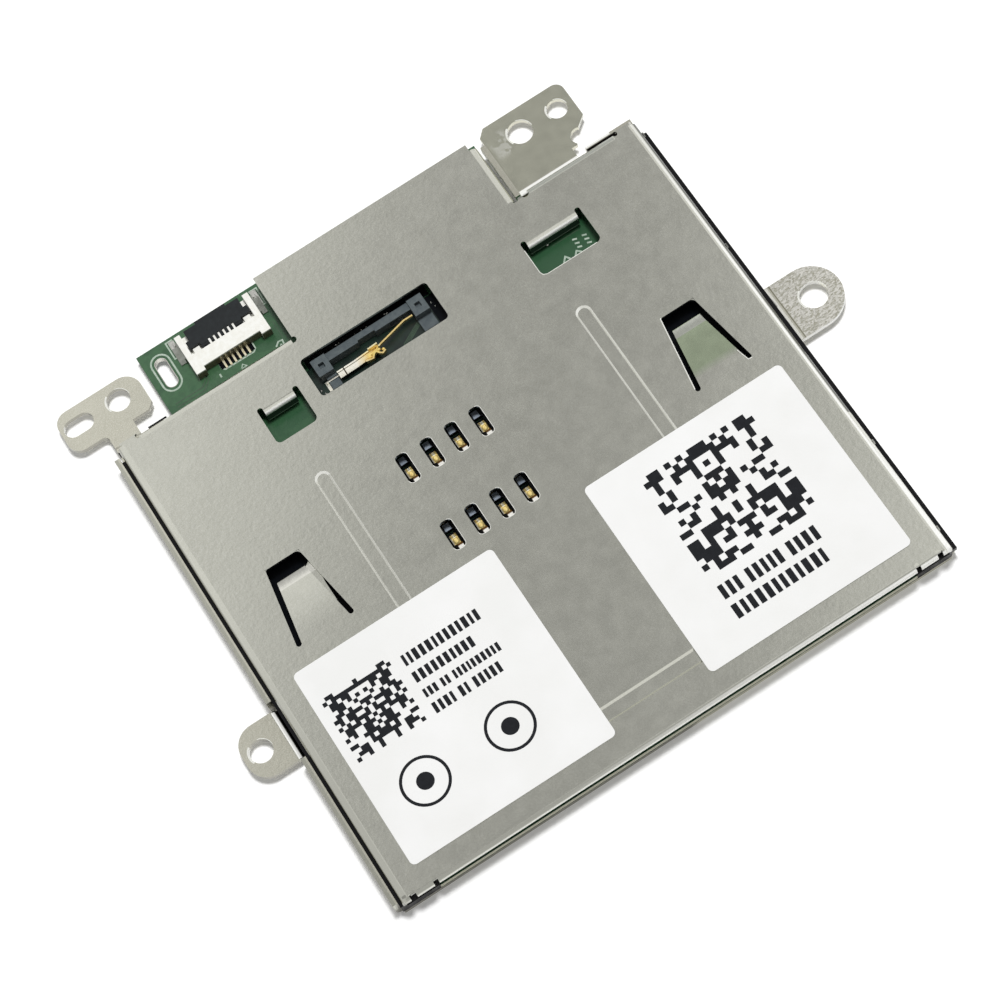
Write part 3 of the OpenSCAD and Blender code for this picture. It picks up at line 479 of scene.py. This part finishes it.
def metal(name, colour, other, roughness, grain=0.25, depth=0.004, metallic=1.0):
    """Plated metal with a little variation of tone and a wavy surface."""
    s = Surface(name, colour, roughness, metallic=metallic)
    s.colour(s.mix(s.between(s.noise(grain, 3, 0.6), 0.3, 0.7), colour, other))
    s.roughness(roughness - 0.05, roughness + 0.1, grain * 0.6)
    s.bump(s.noise(grain, 2), depth)
    return s.material


def board_material():
    """Solder mask over copper, darker where the cover shades it, with pale glass fibre at the edges."""
    s = Surface("board", (60, 96, 66), 0.36, coat=0.2)
    weave = s.noise(0.5, 3, 0.6)
    copper = s.between(s.noise(2.6, 1), 0.47, 0.5)
    mask = s.mix(copper, (50, 86, 57), (59, 95, 64))
    mask = s.mix(s.between(weave, 0.4, 0.6, 0, 0.35), mask, (44, 72, 50))
    mask = s.mix(s.times(s.region(y=(-40, REAR_Y)), 0.5), mask, (26, 72, 42))
    flat = s.math("ABSOLUTE", s.axis(s.normal, "Z"))
    fibre = s.mix(s.noise(0.15, 3), (176, 178, 150), (206, 204, 184))
    s.colour(s.mix(s.between(flat, 0.4, 0.6), fibre, mask))
    s.roughness(0.3, 0.42, 0.8)
    s.bump(s.math("ADD", copper, s.times(weave, 0.4)), 0.012)
    return s.material


def contact_gold():
    """Gold springs with painted light: a painted highlight on the nose, painted shade at the neck and on
    the right side, and a painted white reflection at the front of each window.
    """
    s = Surface("contact_gold", (240, 205, 130), 0.24, metallic=0.85)
    y = s.axis(s.point, "Y")
    front_row = s.between(y, 0.1 * MM, -0.1 * MM)
    # From the middle of the row along Y, and from the middle of the contact along X in parts of the pitch
    along = s.math("ADD", y, s.between(front_row, 0, 1, -ROW_Y * MM, ROW_Y * MM))
    column = s.math("FRACT", s.math("ADD", s.math("DIVIDE", s.axis(s.point, "X"), PITCH * MM), 3))
    side = s.math("SUBTRACT", column, 0.5)
    off_centre = s.math("ABSOLUTE", side)
    colour = s.mix(s.noise(0.3, 2), (238, 216, 146), (212, 184, 104))
    colour = s.mix(s.between(side, -0.1, -0.12), colour, (156, 152, 140))
    # Painted shade on the right side
    colour = s.mix(s.between(side, 0.1, 0.12), colour, (30, 25, 16))
    nose = s.between(along, -0.42 * MM, -0.3 * MM)
    # Painted highlight on the nose
    glint = s.times(s.between(off_centre, 0.06, 0.035), nose)
    colour = s.mix(glint, colour, (255, 250, 226))
    # Painted shade at the neck, darkest on its left
    neck = s.between(along, -0.6 * MM, -0.66 * MM)
    colour = s.mix(neck, colour, (96, 66, 28))
    colour = s.mix(s.times(neck, s.between(side, -0.03, -0.06)), colour, (12, 11, 10))
    # Painted white reflection at the front
    bar = s.times(s.between(along, -0.8 * MM, -0.86 * MM), s.between(side, -0.06, -0.03))
    colour = s.mix(bar, colour, (252, 250, 242))
    tail = s.between(along, -1.22 * MM, -1.3 * MM)
    s.colour(s.mix(tail, colour, (226, 186, 104)))
    s.roughness(0.18, 0.32, 0.2)
    s.bump(s.noise(0.25, 2), 0.004)
    return s.material


def arm_gold():
    """The switch arm: cream at its root, gold towards its end, with painted highlights on its tab and
    blade.
    """
    s = Surface("arm_gold", (246, 226, 168), 0.25, metallic=0.7)
    colour = s.mix(s.noise(0.3, 2), (246, 224, 160), (232, 198, 120))
    colour = s.mix(s.along("X", -1.2, -2.4), colour, (250, 246, 232))
    # Painted highlights on the tab and the blade
    colour = s.mix(s.region(x=(-1.1, 0.6), y=(15.3, 15.75)), colour, (252, 226, 140))
    colour = s.mix(s.region(x=(-1.4, 0.3), y=(15.9, 16.6), z=(1.9, 3)), colour, (255, 244, 196))
    s.colour(s.mix(s.region(x=(-3.66, -3.54), soft=0.02), colour, (60, 50, 30)))
    s.roughness(0.18, 0.3, 0.2)
    s.bump(s.noise(0.25, 2), 0.003)
    return s.material


def housing_material():
    """Ivory nylon with painted shade on its lower front faces."""
    s = Surface("connector_plastic", (248, 248, 243), 0.45)
    colour = s.mix(s.between(s.noise(0.5, 3, 0.6), 0.35, 0.65), (248, 248, 243), (240, 239, 231))
    front = s.between(s.axis(s.normal, "Y"), -0.5, -0.8)
    # Painted shade on the lower front faces
    front_shade = s.times(front, s.region(y=(22, 24), z=(BOARD_TOP - 1, BOARD_TOP + 1.02)))
    s.colour(s.mix(front_shade, colour, (92, 86, 64)))
    s.roughness(0.39, 0.51, 0.25)
    s.bump(s.noise(0.12, 2, 0.6), 0.002)
    return s.material


def label_material():
    """White film with a faint mottle."""
    s = Surface("label", (243, 243, 241), 0.42, specular=0.4)
    s.colour(s.mix(s.between(s.noise(6, 3), 0.35, 0.65), (241, 241, 239), (246, 246, 245)))
    s.roughness(0.38, 0.5, 0.3, 3)
    s.bump(s.noise(0.2, 2, 0.6), 0.001)
    return s.material


BOARD = board_material()
LABEL = label_material()
HOUSING = housing_material()
CONTACT_GOLD = contact_gold()
ARM_GOLD = arm_gold()
RAIL = plastic("rail", (6, 6, 8), (12, 12, 14), 0.3, specular=0.2)
CONTACT_PLASTIC = plastic("contact_plastic", (20, 21, 24), (28, 30, 33), 0.42, specular=0.3)
NOSE_PAD = plastic("nose_pad", (150, 160, 172), (130, 140, 152), 0.4)
SWITCH_PLASTIC = plastic("switch_plastic", (88, 96, 98), (76, 84, 88), 0.5)
LATCH = plastic("latch_plastic", (20, 23, 25), (30, 34, 36), 0.5, specular=0.35)
CHIP = plastic("chip_plastic", (38, 38, 40), (50, 50, 52), 0.55)
CAPACITOR = plastic("capacitor_body", (150, 128, 96), (132, 110, 82), 0.4)
RESISTOR = plastic("resistor_body", (30, 30, 34), (44, 44, 48), 0.35)
FILM = plastic("film", (196, 150, 120), (180, 136, 106), 0.35)
# Pale plastic for the strips of painted highlight
EDGE = plastic("painted_highlight_edge", (240, 240, 233), (222, 222, 215), 0.25, 0.1)
SILK = plastic("silk_print", (184, 198, 184), (158, 176, 160), 0.55, 0.08)
INK = plastic("label_print", (13, 15, 19), (22, 24, 28), 0.5, 0.1, specular=0.25)
# Near-black plastic for the sheets of painted shade
SHADE = plastic("painted_shade_black", (5, 7, 11), (9, 11, 15), 0.5, 0.2, specular=0.15)
DARK_BOARD = plastic("shaded_mask", (20, 38, 30), (12, 24, 20), 0.35, 0.3)
TRACE = plastic("masked_trace", (70, 92, 72), (58, 78, 60), 0.34)
TIN = metal("tin", (226, 224, 216), (204, 202, 194), 0.28)
CAN = metal("crystal_can", (200, 198, 190), (186, 184, 176), 0.32)
SOLDER = metal("solder", (204, 204, 198), (176, 176, 170), 0.2, 0.4, 0.002)
ANCHOR = metal("anchor_tin", (160, 162, 155), (134, 137, 129), 0.34, 0.7, 0.002)
BALL_GOLD = metal("ball_gold", (254, 234, 160), (244, 212, 130), 0.14, 0.2, 0.002, metallic=0.45)
TAIL = metal("contact_tail", (246, 240, 214), (226, 212, 170), 0.25, metallic=0.45)


# Skins: each CAD node gets a copy of its own shape with rounded edges

# Edges that turn by more degrees than this are rounded, and gentler ones are shaded smooth
SHARP = 32
# Points closer than this are joined, and so are faces that turn by fewer degrees than this
SAME_POINT = 0.0005
SAME_FACE = 0.5


def dress(node, material, edge):
    """A copy of a CAD node, its edges rounded by a little, that stands for it."""
    mesh = nodes[node].data.copy()
    mesh.name = node + "_skin"
    work = bmesh.new()
    work.from_mesh(mesh)
    bmesh.ops.remove_doubles(work, verts=work.verts, dist=SAME_POINT * MM)
    bmesh.ops.dissolve_limit(work, angle_limit=math.radians(SAME_FACE), verts=work.verts, edges=work.edges)
    work.to_mesh(mesh)
    work.free()
    mesh.materials.clear()
    mesh.materials.append(material)
    for face in mesh.polygons:
        face.use_smooth = True
    mesh.set_sharp_from_angle(angle=math.radians(SHARP))
    obj = link(bpy.data.objects.new(node + "_skin", mesh))
    bevel = obj.modifiers.new("edge", "BEVEL")
    bevel.width = edge * MM
    bevel.segments = 2
    bevel.limit_method = "ANGLE"
    bevel.angle_limit = math.radians(SHARP)
    bevel.use_clamp_overlap = True
    weights = obj.modifiers.new("weights", "WEIGHTED_NORMAL")
    weights.keep_sharp = True
    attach(obj, body_of[node])
    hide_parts(node)


body_of = {n: b for b, members in frame["record"]["behaviour"]["bodies"].items() for n in members}
slot_of = {p["node"]: p["material_slot"] for p in frame["record"]["subparts"]}

# The material of each slot, and the width of its rounded edges
by_slot = {
    "cover_sheet": (COVER, 0.04),
    "frame_sheet": (FRAME, 0.08),
    "board": (BOARD, 0.02),
    "film": (FILM, 0.01),
    "rail": (RAIL, 0.05),
    "contact_plastic": (CONTACT_PLASTIC, 0.03),
    "switch_plastic": (SWITCH_PLASTIC, 0.03),
    "connector_plastic": (HOUSING, 0.03),
    "latch_plastic": (LATCH, 0.03),
    "chip_plastic": (CHIP, 0.04),
    "capacitor_body": (CAPACITOR, 0.03),
    "resistor_body": (RESISTOR, 0.03),
    "crystal_can": (CAN, 0.05),
    "gold": (CONTACT_GOLD, 0.02),
    "tin": (TIN, 0.02),
    "label": (LABEL, 0.015),
}
# Nodes whose names start so have a material of their own
by_name = {"switch_arm": ARM_GOLD, "connector_anchor": ANCHOR, "connector_contact": TAIL}
for node in nodes:
    material, edge = by_slot[slot_of[node]]
    for start, own in by_name.items():
        if node.startswith(start):
            material = own
    dress(node, material, edge)


# Builders of the added pieces

def piece(name, mesh, material, body="reader"):
    """A new object from a bmesh in millimetres that rides on a body."""
    for v in mesh.verts:
        v.co *= MM
    data = bpy.data.meshes.new(name)
    mesh.to_mesh(data)
    mesh.free()
    data.materials.append(material)
    obj = link(bpy.data.objects.new(name, data))
    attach(obj, body)


def prism(mesh, outline, z0, z1):
    """A flat plate with an outline of (x, y) points, from z0 to z1."""
    low = [mesh.verts.new((x, y, z0)) for x, y in outline]
    high = [mesh.verts.new((x, y, z1)) for x, y in outline]
    n = len(outline)
    mesh.faces.new(high)
    mesh.faces.new(low[::-1])
    for i in range(n):
        j = (i + 1) % n
        mesh.faces.new((low[i], low[j], high[j], high[i]))


def rect(mesh, x0, y0, x1, y1, z0, z1):
    prism(mesh, [(x0, y0), (x1, y0), (x1, y1), (x0, y1)], z0, z1)


def wedge(mesh, x0, x1, profile):
    """A bar along X whose section is a profile of (y, z) points."""
    near = [mesh.verts.new((x0, y, z)) for y, z in profile]
    far = [mesh.verts.new((x1, y, z)) for y, z in profile]
    n = len(profile)
    mesh.faces.new(near)
    mesh.faces.new(far[::-1])
    for i in range(n):
        j = (i + 1) % n
        mesh.faces.new((near[j], near[i], far[i], far[j]))


def ribbon(mesh, points, width, z0, z1, closed=False):
    """A band of even width along a line of points."""
    n = len(points)
    sides = []
    for i, p in enumerate(points):
        here = Vector(p)
        before = Vector(points[(i - 1) % n]) if closed or i else None
        after = Vector(points[(i + 1) % n]) if closed or i < n - 1 else None
        a = (after - here if before is None else here - before).normalized()
        b = a if after is None else (after - here).normalized()
        normal = (Vector((-a.y, a.x)) + Vector((-b.y, b.x))).normalized()
        reach = width / 2 / max(normal.dot(Vector((-a.y, a.x))), 0.3)
        sides.append((here + normal * reach, here - normal * reach))
    rows = []
    for left, right in sides:
        section = ((left, z0), (left, z1), (right, z1), (right, z0))
        rows.append([mesh.verts.new((q.x, q.y, z)) for q, z in section])
    for i in range(n if closed else n - 1):
        a, b = rows[i], rows[(i + 1) % n]
        for k in range(4):
            mesh.faces.new((a[k], a[(k + 1) % 4], b[(k + 1) % 4], b[k]))
    if not closed:
        mesh.faces.new(rows[0][::-1])
        mesh.faces.new(rows[-1])


def leaning(mesh, line, z0, z1, reach, thick=0.05):
    """A strip along a line of (x, y) points that leans forward by reach from z1 down to z0."""
    rows = []
    for x, y in line:
        section = ((y, z1), (y - reach, z0), (y - reach, z0 - thick), (y, z1 - thick))
        rows.append([mesh.verts.new((x, *p)) for p in section])
    for a, b in zip(rows, rows[1:]):
        for i in range(4):
            mesh.faces.new((a[i], b[i], b[(i + 1) % 4], a[(i + 1) % 4]))
    mesh.faces.new(rows[0])
    mesh.faces.new(rows[-1][::-1])


def dome(mesh, cx, cy, z, rx, ry, h, steps=14, rings=4):
    """A low dome on the level z."""
    turns = [2 * math.pi * i / steps for i in range(steps)]
    rows = []
    for j in range(rings):
        t = math.radians(90 * j / rings)
        wide, long, level = rx * math.cos(t), ry * math.cos(t), z + h * math.sin(t)
        ring = [(cx + wide * math.cos(a), cy + long * math.sin(a), level) for a in turns]
        rows.append([mesh.verts.new(p) for p in ring])
    top = mesh.verts.new((cx, cy, z + h))
    mesh.faces.new(rows[0][::-1])
    for a, b in zip(rows, rows[1:]):
        for i in range(steps):
            mesh.faces.new((a[i], a[(i + 1) % steps], b[(i + 1) % steps], b[i]))
    for i in range(steps):
        mesh.faces.new((rows[-1][i], rows[-1][(i + 1) % steps], top))


def fillet(mesh, tip, a, b, r, z0, z1, steps=6):
    """A corner filler between directions a and b from the tip, with a hollow round side."""
    tip, a, b = Vector(tip), Vector(a).normalized(), Vector(b).normalized()
    half = a.angle(b) / 2
    centre = tip + (a + b).normalized() * r / math.sin(half)
    reach = r / math.tan(half)
    start, end = tip + a * reach - centre, tip + b * reach - centre
    overlap = 0.04
    points = [tip - (a + b) * overlap]
    for k in range(steps + 1):
        p = start.lerp(end, k / steps)
        points.append(centre + p.normalized() * r)
    turn = (points[1] - points[0]).cross(points[-1] - points[0])
    prism(mesh, [tuple(p) for p in (points if turn > 0 else points[::-1])], z0, z1)


def arc(cx, cy, r, start, end, steps=12):
    """Points along a part of a circle, its ends in degrees."""
    turns = [math.radians(start + (end - start) * k / steps) for k in range(steps + 1)]
    return [(cx + r * math.cos(t), cy + r * math.sin(t)) for t in turns]


def circle(cx, cy, r, steps=40):
    turns = [2 * math.pi * k / steps for k in range(steps)]
    return [(cx + r * math.cos(t), cy + r * math.sin(t)) for t in turns]


def oval(cx, cy, w, l, steps=10):
    """Points round a slot with round ends, l long along Y."""
    r = w / 2
    return arc(cx, cy + l / 2 - r, r, 0, 180, steps) + arc(cx, cy - l / 2 + r, r, 180, 360, steps)


def rounded(cx, cy, w, l, r, steps=6):
    """Points round a box with rounded corners, from its right side on."""
    x, y = w / 2 - r, l / 2 - r
    points = []
    for sx, sy, start in ((1, 1, 0), (-1, 1, 90), (-1, -1, 180), (1, -1, 270)):
        points += arc(cx + sx * x, cy + sy * y, r, start, start + 90, steps)
    return points


def on_board(height):
    """The lower and upper level of what lies on the board."""
    return BOARD_TOP, BOARD_TOP + height


# Label print: plain mosaics, rows of blocks and rings
PRINT = (LABEL_TOP, LABEL_TOP + 0.006)


def mosaic(mesh, x0, y0, x1, y1, count):
    """A field of squares that mirrors left to right."""
    step_x, step_y = (x1 - x0) / count, (y1 - y0) / count
    for j in range(count):
        row = [random.random() < 0.5 for _ in range((count + 1) // 2)]
        row += row[:count // 2][::-1]
        i = 0
        while i < count:
            if row[i]:
                k = i
                while k < count and row[k]:
                    k += 1
                rect(mesh, x0 + i * step_x, y0 + j * step_y, x0 + k * step_x, y0 + (j + 1) * step_y, *PRINT)
                i = k
            else:
                i += 1


def blocks(mesh, x0, x1, y0, y1, groups):
    """A row of small blocks in groups, as long as there is room before x1. Gaps are shares of a cell."""
    x = x0
    cell = (y1 - y0) * 0.58
    for count in groups:
        for _ in range(count):
            if x + cell > x1:
                return
            wide = cell * random.uniform(0.45, 0.72)
            rect(mesh, x, y0, x + wide, y1, *PRINT)
            x += wide + cell * 0.36
        x += cell * 0.55


ink = bmesh.new()
# The left label
mosaic(ink, -21.2, -16.9, -14.4, -10.2, 17)
blocks(ink, -13.4, -4.6, -11.85, -10.75, (13,))
blocks(ink, -13.4, -4.5, -13.65, -12.6, (10,))
blocks(ink, -13.4, -2.8, -15.25, -14.4, (3, 2, 10))
blocks(ink, -13.4, -5.0, -16.95, -15.9, (4, 2, 5))
# The right label
mosaic(ink, 12.2, -19.9, 23.4, -9.0, 19)
blocks(ink, 12.3, 22.9, -22.4, -21.0, (3, 5, 4))
blocks(ink, 12.3, 23.4, -24.5, -23.1, (12,))
# The left label's two rings
RINGS_Y = -21.45
for x in (-17.3, -8.8):
    ribbon(ink, circle(x, RINGS_Y, 2.13), 0.28, *PRINT, closed=True)
    prism(ink, circle(x, RINGS_Y, 0.8), *PRINT)
piece("label_print", ink, INK)

# Dark sheets that paint shade on the board: below the card springs, below the contacts, behind and beside
# the switch, and below the connector's tails
SHADE_SHEET_H = 0.02
shade_sheet_mesh = bmesh.new()
for x in SPRING_X:
    rect(shade_sheet_mesh, x - 3.6, -5.5, x + 3.6, 3.7, *on_board(SHADE_SHEET_H))
for x, y in CONTACTS:
    rect(shade_sheet_mesh, x - 0.48, y - 4, x + 0.48, y + 1.05, *on_board(SHADE_SHEET_H))
rect(shade_sheet_mesh, -6.2, 18.05, 6.6, 20.2, *on_board(SHADE_SHEET_H))
rect(shade_sheet_mesh, 6.0, 14.2, 8.2, 18.0, *on_board(SHADE_SHEET_H))
rect(shade_sheet_mesh, -12.72, 22.72, -9.18, 23.5, *on_board(SHADE_SHEET_H))
piece("painted_shade_sheets", shade_sheet_mesh, SHADE)

# The board's shaded part in the switch's window
shaded = bmesh.new()
rect(shaded, -6.6, 13.6, 6.0, 18.05, *on_board(0.008))
piece("shaded_mask", shaded, DARK_BOARD)

# Grey pads in the block behind the contacts' noses
pads = bmesh.new()
for x, y in CONTACTS:
    rect(pads, x - 0.32, y + 1.12, x + 0.3, y + 1.82, BLOCK_TOP, BLOCK_TOP + 0.03)
piece("nose_pads", pads, NOSE_PAD)

# Traces under the mask: a bundle and a line in the windows, and thin ones beside the connector
WINDOW_TRACE_H = 0.014
TRACE_H = 0.008
traces = bmesh.new()
for shift in (0, 0.24, 0.48, 0.72):
    bundle = [(0.9 + shift, 13.7), (2.3 + shift, 15.2), (4.3 + shift, 16.3), (5.7, 16.3 + shift / 2)]
    ribbon(traces, bundle, 0.06, *on_board(WINDOW_TRACE_H))
ribbon(traces, [(18.2, 15.5), (21.0, 15.5)], 0.08, *on_board(WINDOW_TRACE_H))
for y in (21.9, 22.3):
    hooked = [(-17.9, y), (-15.0, y), (-14.2, y + 0.7), (-14.2, y + 1.6)]
    ribbon(traces, hooked, 0.12, *on_board(TRACE_H))
for x in (-6.5, -6.15):
    ribbon(traces, [(x, 21.2), (x, 24.2)], 0.1, *on_board(TRACE_H))
piece("board_traces", traces, TRACE)

# Silk print: a ring round the slot, brackets round the tails and anchors, small marks, bars and chevrons
SILK_H = 0.012
SLOT = (-17.07, 25.5)
silk = bmesh.new()
ribbon(silk, oval(*SLOT, 1.84, 3.98), 0.17, *on_board(SILK_H), closed=True)
brackets = (
    [(-12.66, 23.5), (-12.66, 22.85), (-12.42, 22.58), (-9.4, 22.55), (-9.13, 22.8), (-9.11, 23.5)],
    [(-15.05, 28.06), (-15.74, 28.06), (-15.74, 26.2), (-15.22, 26.2)],
    [(-6.9, 27.97), (-6.08, 27.97), (-6.08, 26.12), (-6.78, 26.12)],
)
for line in brackets:
    ribbon(silk, line, 0.14, *on_board(SILK_H))
small_marks = (
    ([(-13.1, 22.5), (-13.1, 22.1)], 0.16),
    ([(-11.2, 21.75), (-10.9, 22.1), (-10.62, 21.75), (-11.2, 21.75)], 0.09),
    ([(-7.5, 21.75), (-7.1, 22.1), (-6.7, 22.05), (-6.75, 21.6), (-6.3, 21.5)], 0.15),
    ([(-7.15, 21.5), (-6.95, 21.75)], 0.2),
)
for line, width in small_marks:
    ribbon(silk, line, width, *on_board(SILK_H))
bars = []
for x, top in ((20.0, 14.95), (20.95, 14.8)):
    for y in (top, top - 0.45, top - 0.9):
        bars.append([(x, y), (x + 0.42, y - 0.15)])
chevrons = [[(18.2, 13.45), (18.6, 13.9), (18.9, 13.45)], [(19.35, 13.35), (19.75, 13.8), (20.1, 13.45)]]
for line in bars + chevrons:
    ribbon(silk, line, 0.17, *on_board(SILK_H))
piece("silk_print", silk, SILK)

# Plated lining of the board's slot
lining = bmesh.new()
ribbon(lining, oval(*SLOT, 1.19, 3.24), 0.06, BOARD_TOP - BOARD_T, BOARD_TOP + 0.015, closed=True)
piece("slot_lining", lining, TIN)

# Solder: on the anchors' pads, at the connector's tails, and drops around the switch
solder = bmesh.new()
PAD_H = 0.03
for x in (-15.27, -6.55):
    rect(solder, x - 0.3, 26.25, x + 0.3, 27.95, *on_board(PAD_H))
    dome(solder, x, 27.3, BOARD_TOP + PAD_H, 0.26, 0.6, 0.14)
for i in range(WAYS):
    dome(solder, TAIL_X + TAIL_PITCH * i, 22.72, BOARD_TOP + SHADE_SHEET_H, 0.1, 0.2, 0.1)
for _ in range(22):
    dome(solder, random.uniform(-5.6, 5.9), random.uniform(18.2, 18.75), BOARD_TOP + SHADE_SHEET_H,
         random.uniform(0.04, 0.12), random.uniform(0.04, 0.09), 0.06, steps=8, rings=2)
drops = (
    (17.91, 15.97, 0.16),
    (4.81, 15.2, 0.1),
    (6.3, 17.2, 0.09),
    (6.45, 16.7, 0.08),
    (-6.1, 15.0, 0.16),
    (-6.3, 15.6, 0.1),
    (-5.2, 14.5, 0.14),
)
for x, y, r in drops:
    dome(solder, x, y, BOARD_TOP + SHADE_SHEET_H, r, r * 1.4, 0.08)
piece("solder", solder, SOLDER)

# The switch arm's blade, which leans forward from the arm's top edge, and its formed gold tab
blade = bmesh.new()
leaning(blade, [(-4.25, 15.72), (-2.5, 15.75), (-0.55, 15.88)], 1.86, 2.16, 0.42)
dome(blade, -0.42, 15.72, 1.84, 0.62, 0.3, 0.32, rings=6)
dome(blade, 0.36, 15.5, 1.84, 0.17, 0.17, 0.2)
piece("arm_blade", blade, ARM_GOLD, body="arm")

# Light ends of the connector's contacts in the gaps of the latch's comb
ends = bmesh.new()
comb_y = corner("connector_latch", False)[1]
arm_top = corner("connector_contact_1", True)[2]
for i in range(WAYS):
    node = "connector_contact_%d" % (i + 1)
    x = (corner(node, False)[0] + corner(node, True)[0]) / 2
    rect(ends, x - 0.095, comb_y - 0.08, x + 0.095, comb_y + 0.51, arm_top - 0.08, arm_top + 0.19)
piece("contact_ends", ends, HOUSING)

# Gold balls of the card contacts' noses, each riding on its contact
for number, (_, row) in enumerate(CONTACTS, 1):
    ball = bmesh.new()
    node = "card_contact_%d" % number
    x = (corner(node, False)[0] + corner(node, True)[0]) / 2
    dome(ball, x, row - 0.3, corner(node, True)[2] - 0.24, 0.35, 0.37, 0.33, rings=8)
    piece("ball_%d" % number, ball, BALL_GOLD, body=body_of[node])

# Painted highlights as light strips on sheared edges: rims of the contact windows, of the right stop's
# window and of the right spring
RIM_H = 0.004
RIM = (COVER_TOP - 0.02, COVER_TOP + RIM_H)
# Width, length and corner radius of a contact window, and how many steps make a corner
WINDOW = (1.2, 3.05, 0.4)
STEPS = 6
rim_highlight_mesh = bmesh.new()
for x, y in CONTACTS:
    outline = rounded(x, y, *WINDOW, STEPS)
    # From the front left corner round by the right side: the rear left corner has no rim
    ribbon(rim_highlight_mesh, outline[2 * STEPS + 2:] + outline[:STEPS + 1], 0.05, *RIM)
ribbon(rim_highlight_mesh, [(15.65, 15.6), (15.65, 12.95), (15.8, 12.6), (16.15, 12.45), (21.4, 12.45)], 0.06, *RIM)
ribbon(rim_highlight_mesh, [(20.75, -4.6), (21.93, 2.8), (22.02, 2.87)], 0.09, *RIM)
ribbon(rim_highlight_mesh, [(26.5, -4.95), (26.12, -4.9), (25.8, -3.6)], 0.07, *RIM)
piece("window_rim_highlights", rim_highlight_mesh, EDGE)

# Painted highlights: light crescents at the ears' holes, whose middles and radii these are
holes = (
    (-27.75, -10.4, 1.1),
    (34.55, -2.32, 1.3),
    (-22.05, 25.7, 1.13),
    (21.95, 27, 1.22),
    (25.95, 27, 1.0),
)
RING = (EAR_TOP - 0.03, EAR_TOP + RIM_H)
rings = bmesh.new()
for x, y, r in holes:
    ribbon(rings, arc(x, y, r + 0.08, 130, 210), 0.16, *RING)
    ribbon(rings, arc(x, y, r + 0.03, 0, 80), 0.06, *RING)
piece("hole_glints", rings, EDGE)

# Small pieces of the cover's sheet: round corners of the springs' windows, fillers in the front corners
# and notches, and a sliver beside the left spring
# Half the width of a spring's window at its rear end, that end's place along Y, and the sides' lean
SPRING_END = (1.7, 2.85)
SPRING_SLANT = 0.159
trim = bmesh.new()
for x in SPRING_X:
    for side, r in ((-1, 0.25), (1, 0.55)):
        tip = (x + side * SPRING_END[0], SPRING_END[1])
        fillet(trim, tip, (-side, 0), (side * SPRING_SLANT, -1), r, COVER_TOP - SHEET, COVER_TOP)
# Sections as (y, z) points, y from the cover's front edge
front_profile = (
    (0.6, 3.19), (0.36, 3.19), (0.17, 3.1), (0.05, 2.95), (0.01, 2.62), (0.15, 2.62), (0.6, 2.95),
)
for x0, x1 in ((29.68, 30.28), (-24.2, -23.62)):
    wedge(trim, x0, x1, [(y + FRONT_Y, z) for y, z in front_profile])
notch_profile = ((0.66, 3.19), (0.3, 3.16), (0.3, 2.96), (0.66, 2.95))
for x in (-23.225, -21.075, 27.225, 29.375):
    wedge(trim, x - 0.25, x + 0.25, [(y + FRONT_Y, z) for y, z in notch_profile])
sliver = [
    (-16.02, 1.3), (-15.75, -0.2), (-15.36, -2.9), (-15.26, -2.9),
    (-15.28, -1.0), (-15.24, -0.2), (-15.58, 1.6),
]
prism(trim, sliver, 2.58, 2.72)
piece("cover_trim", trim, COVER)

# The floor, which keeps the part's shadow and glows a little where it is seen, so that it is white
FLOOR_REACH = 3.0
FLOOR_GLOW = 0.1
floor_corners = [(x * FLOOR_REACH, y * FLOOR_REACH, 0) for x, y in ((-1, -1), (1, -1), (1, 1), (-1, 1))]
floor_mesh = bpy.data.meshes.new("floor")
floor_mesh.from_pydata(floor_corners, [], [(0, 1, 2, 3)])
floor = link(bpy.data.objects.new("floor", floor_mesh))
pale = Surface("floor", (255, 255, 255), 0.9, specular=0.0)
glow = pale.node("ShaderNodeEmission")
glow.inputs["Strength"].default_value = FLOOR_GLOW
rays = pale.node("ShaderNodeLightPath").outputs
direct = pale.any(rays["Is Camera Ray"], rays["Is Glossy Ray"], rays["Is Transmission Ray"])
brighter = pale.node("ShaderNodeAddShader")
output = pale.node("ShaderNodeMixShader")
pale.feed(brighter.inputs[0], pale.shader.outputs[0])
pale.feed(brighter.inputs[1], glow.outputs[0])
pale.feed(output.inputs[0], direct)
pale.feed(output.inputs[1], pale.shader.outputs[0])
pale.feed(output.inputs[2], brighter.outputs[0])
pale.feed(pale.tree.nodes["Material Output"].inputs[0], output.outputs[0])
floor_mesh.materials.append(pale.material)

bpy.context.scene.view_settings.view_transform = "Standard"
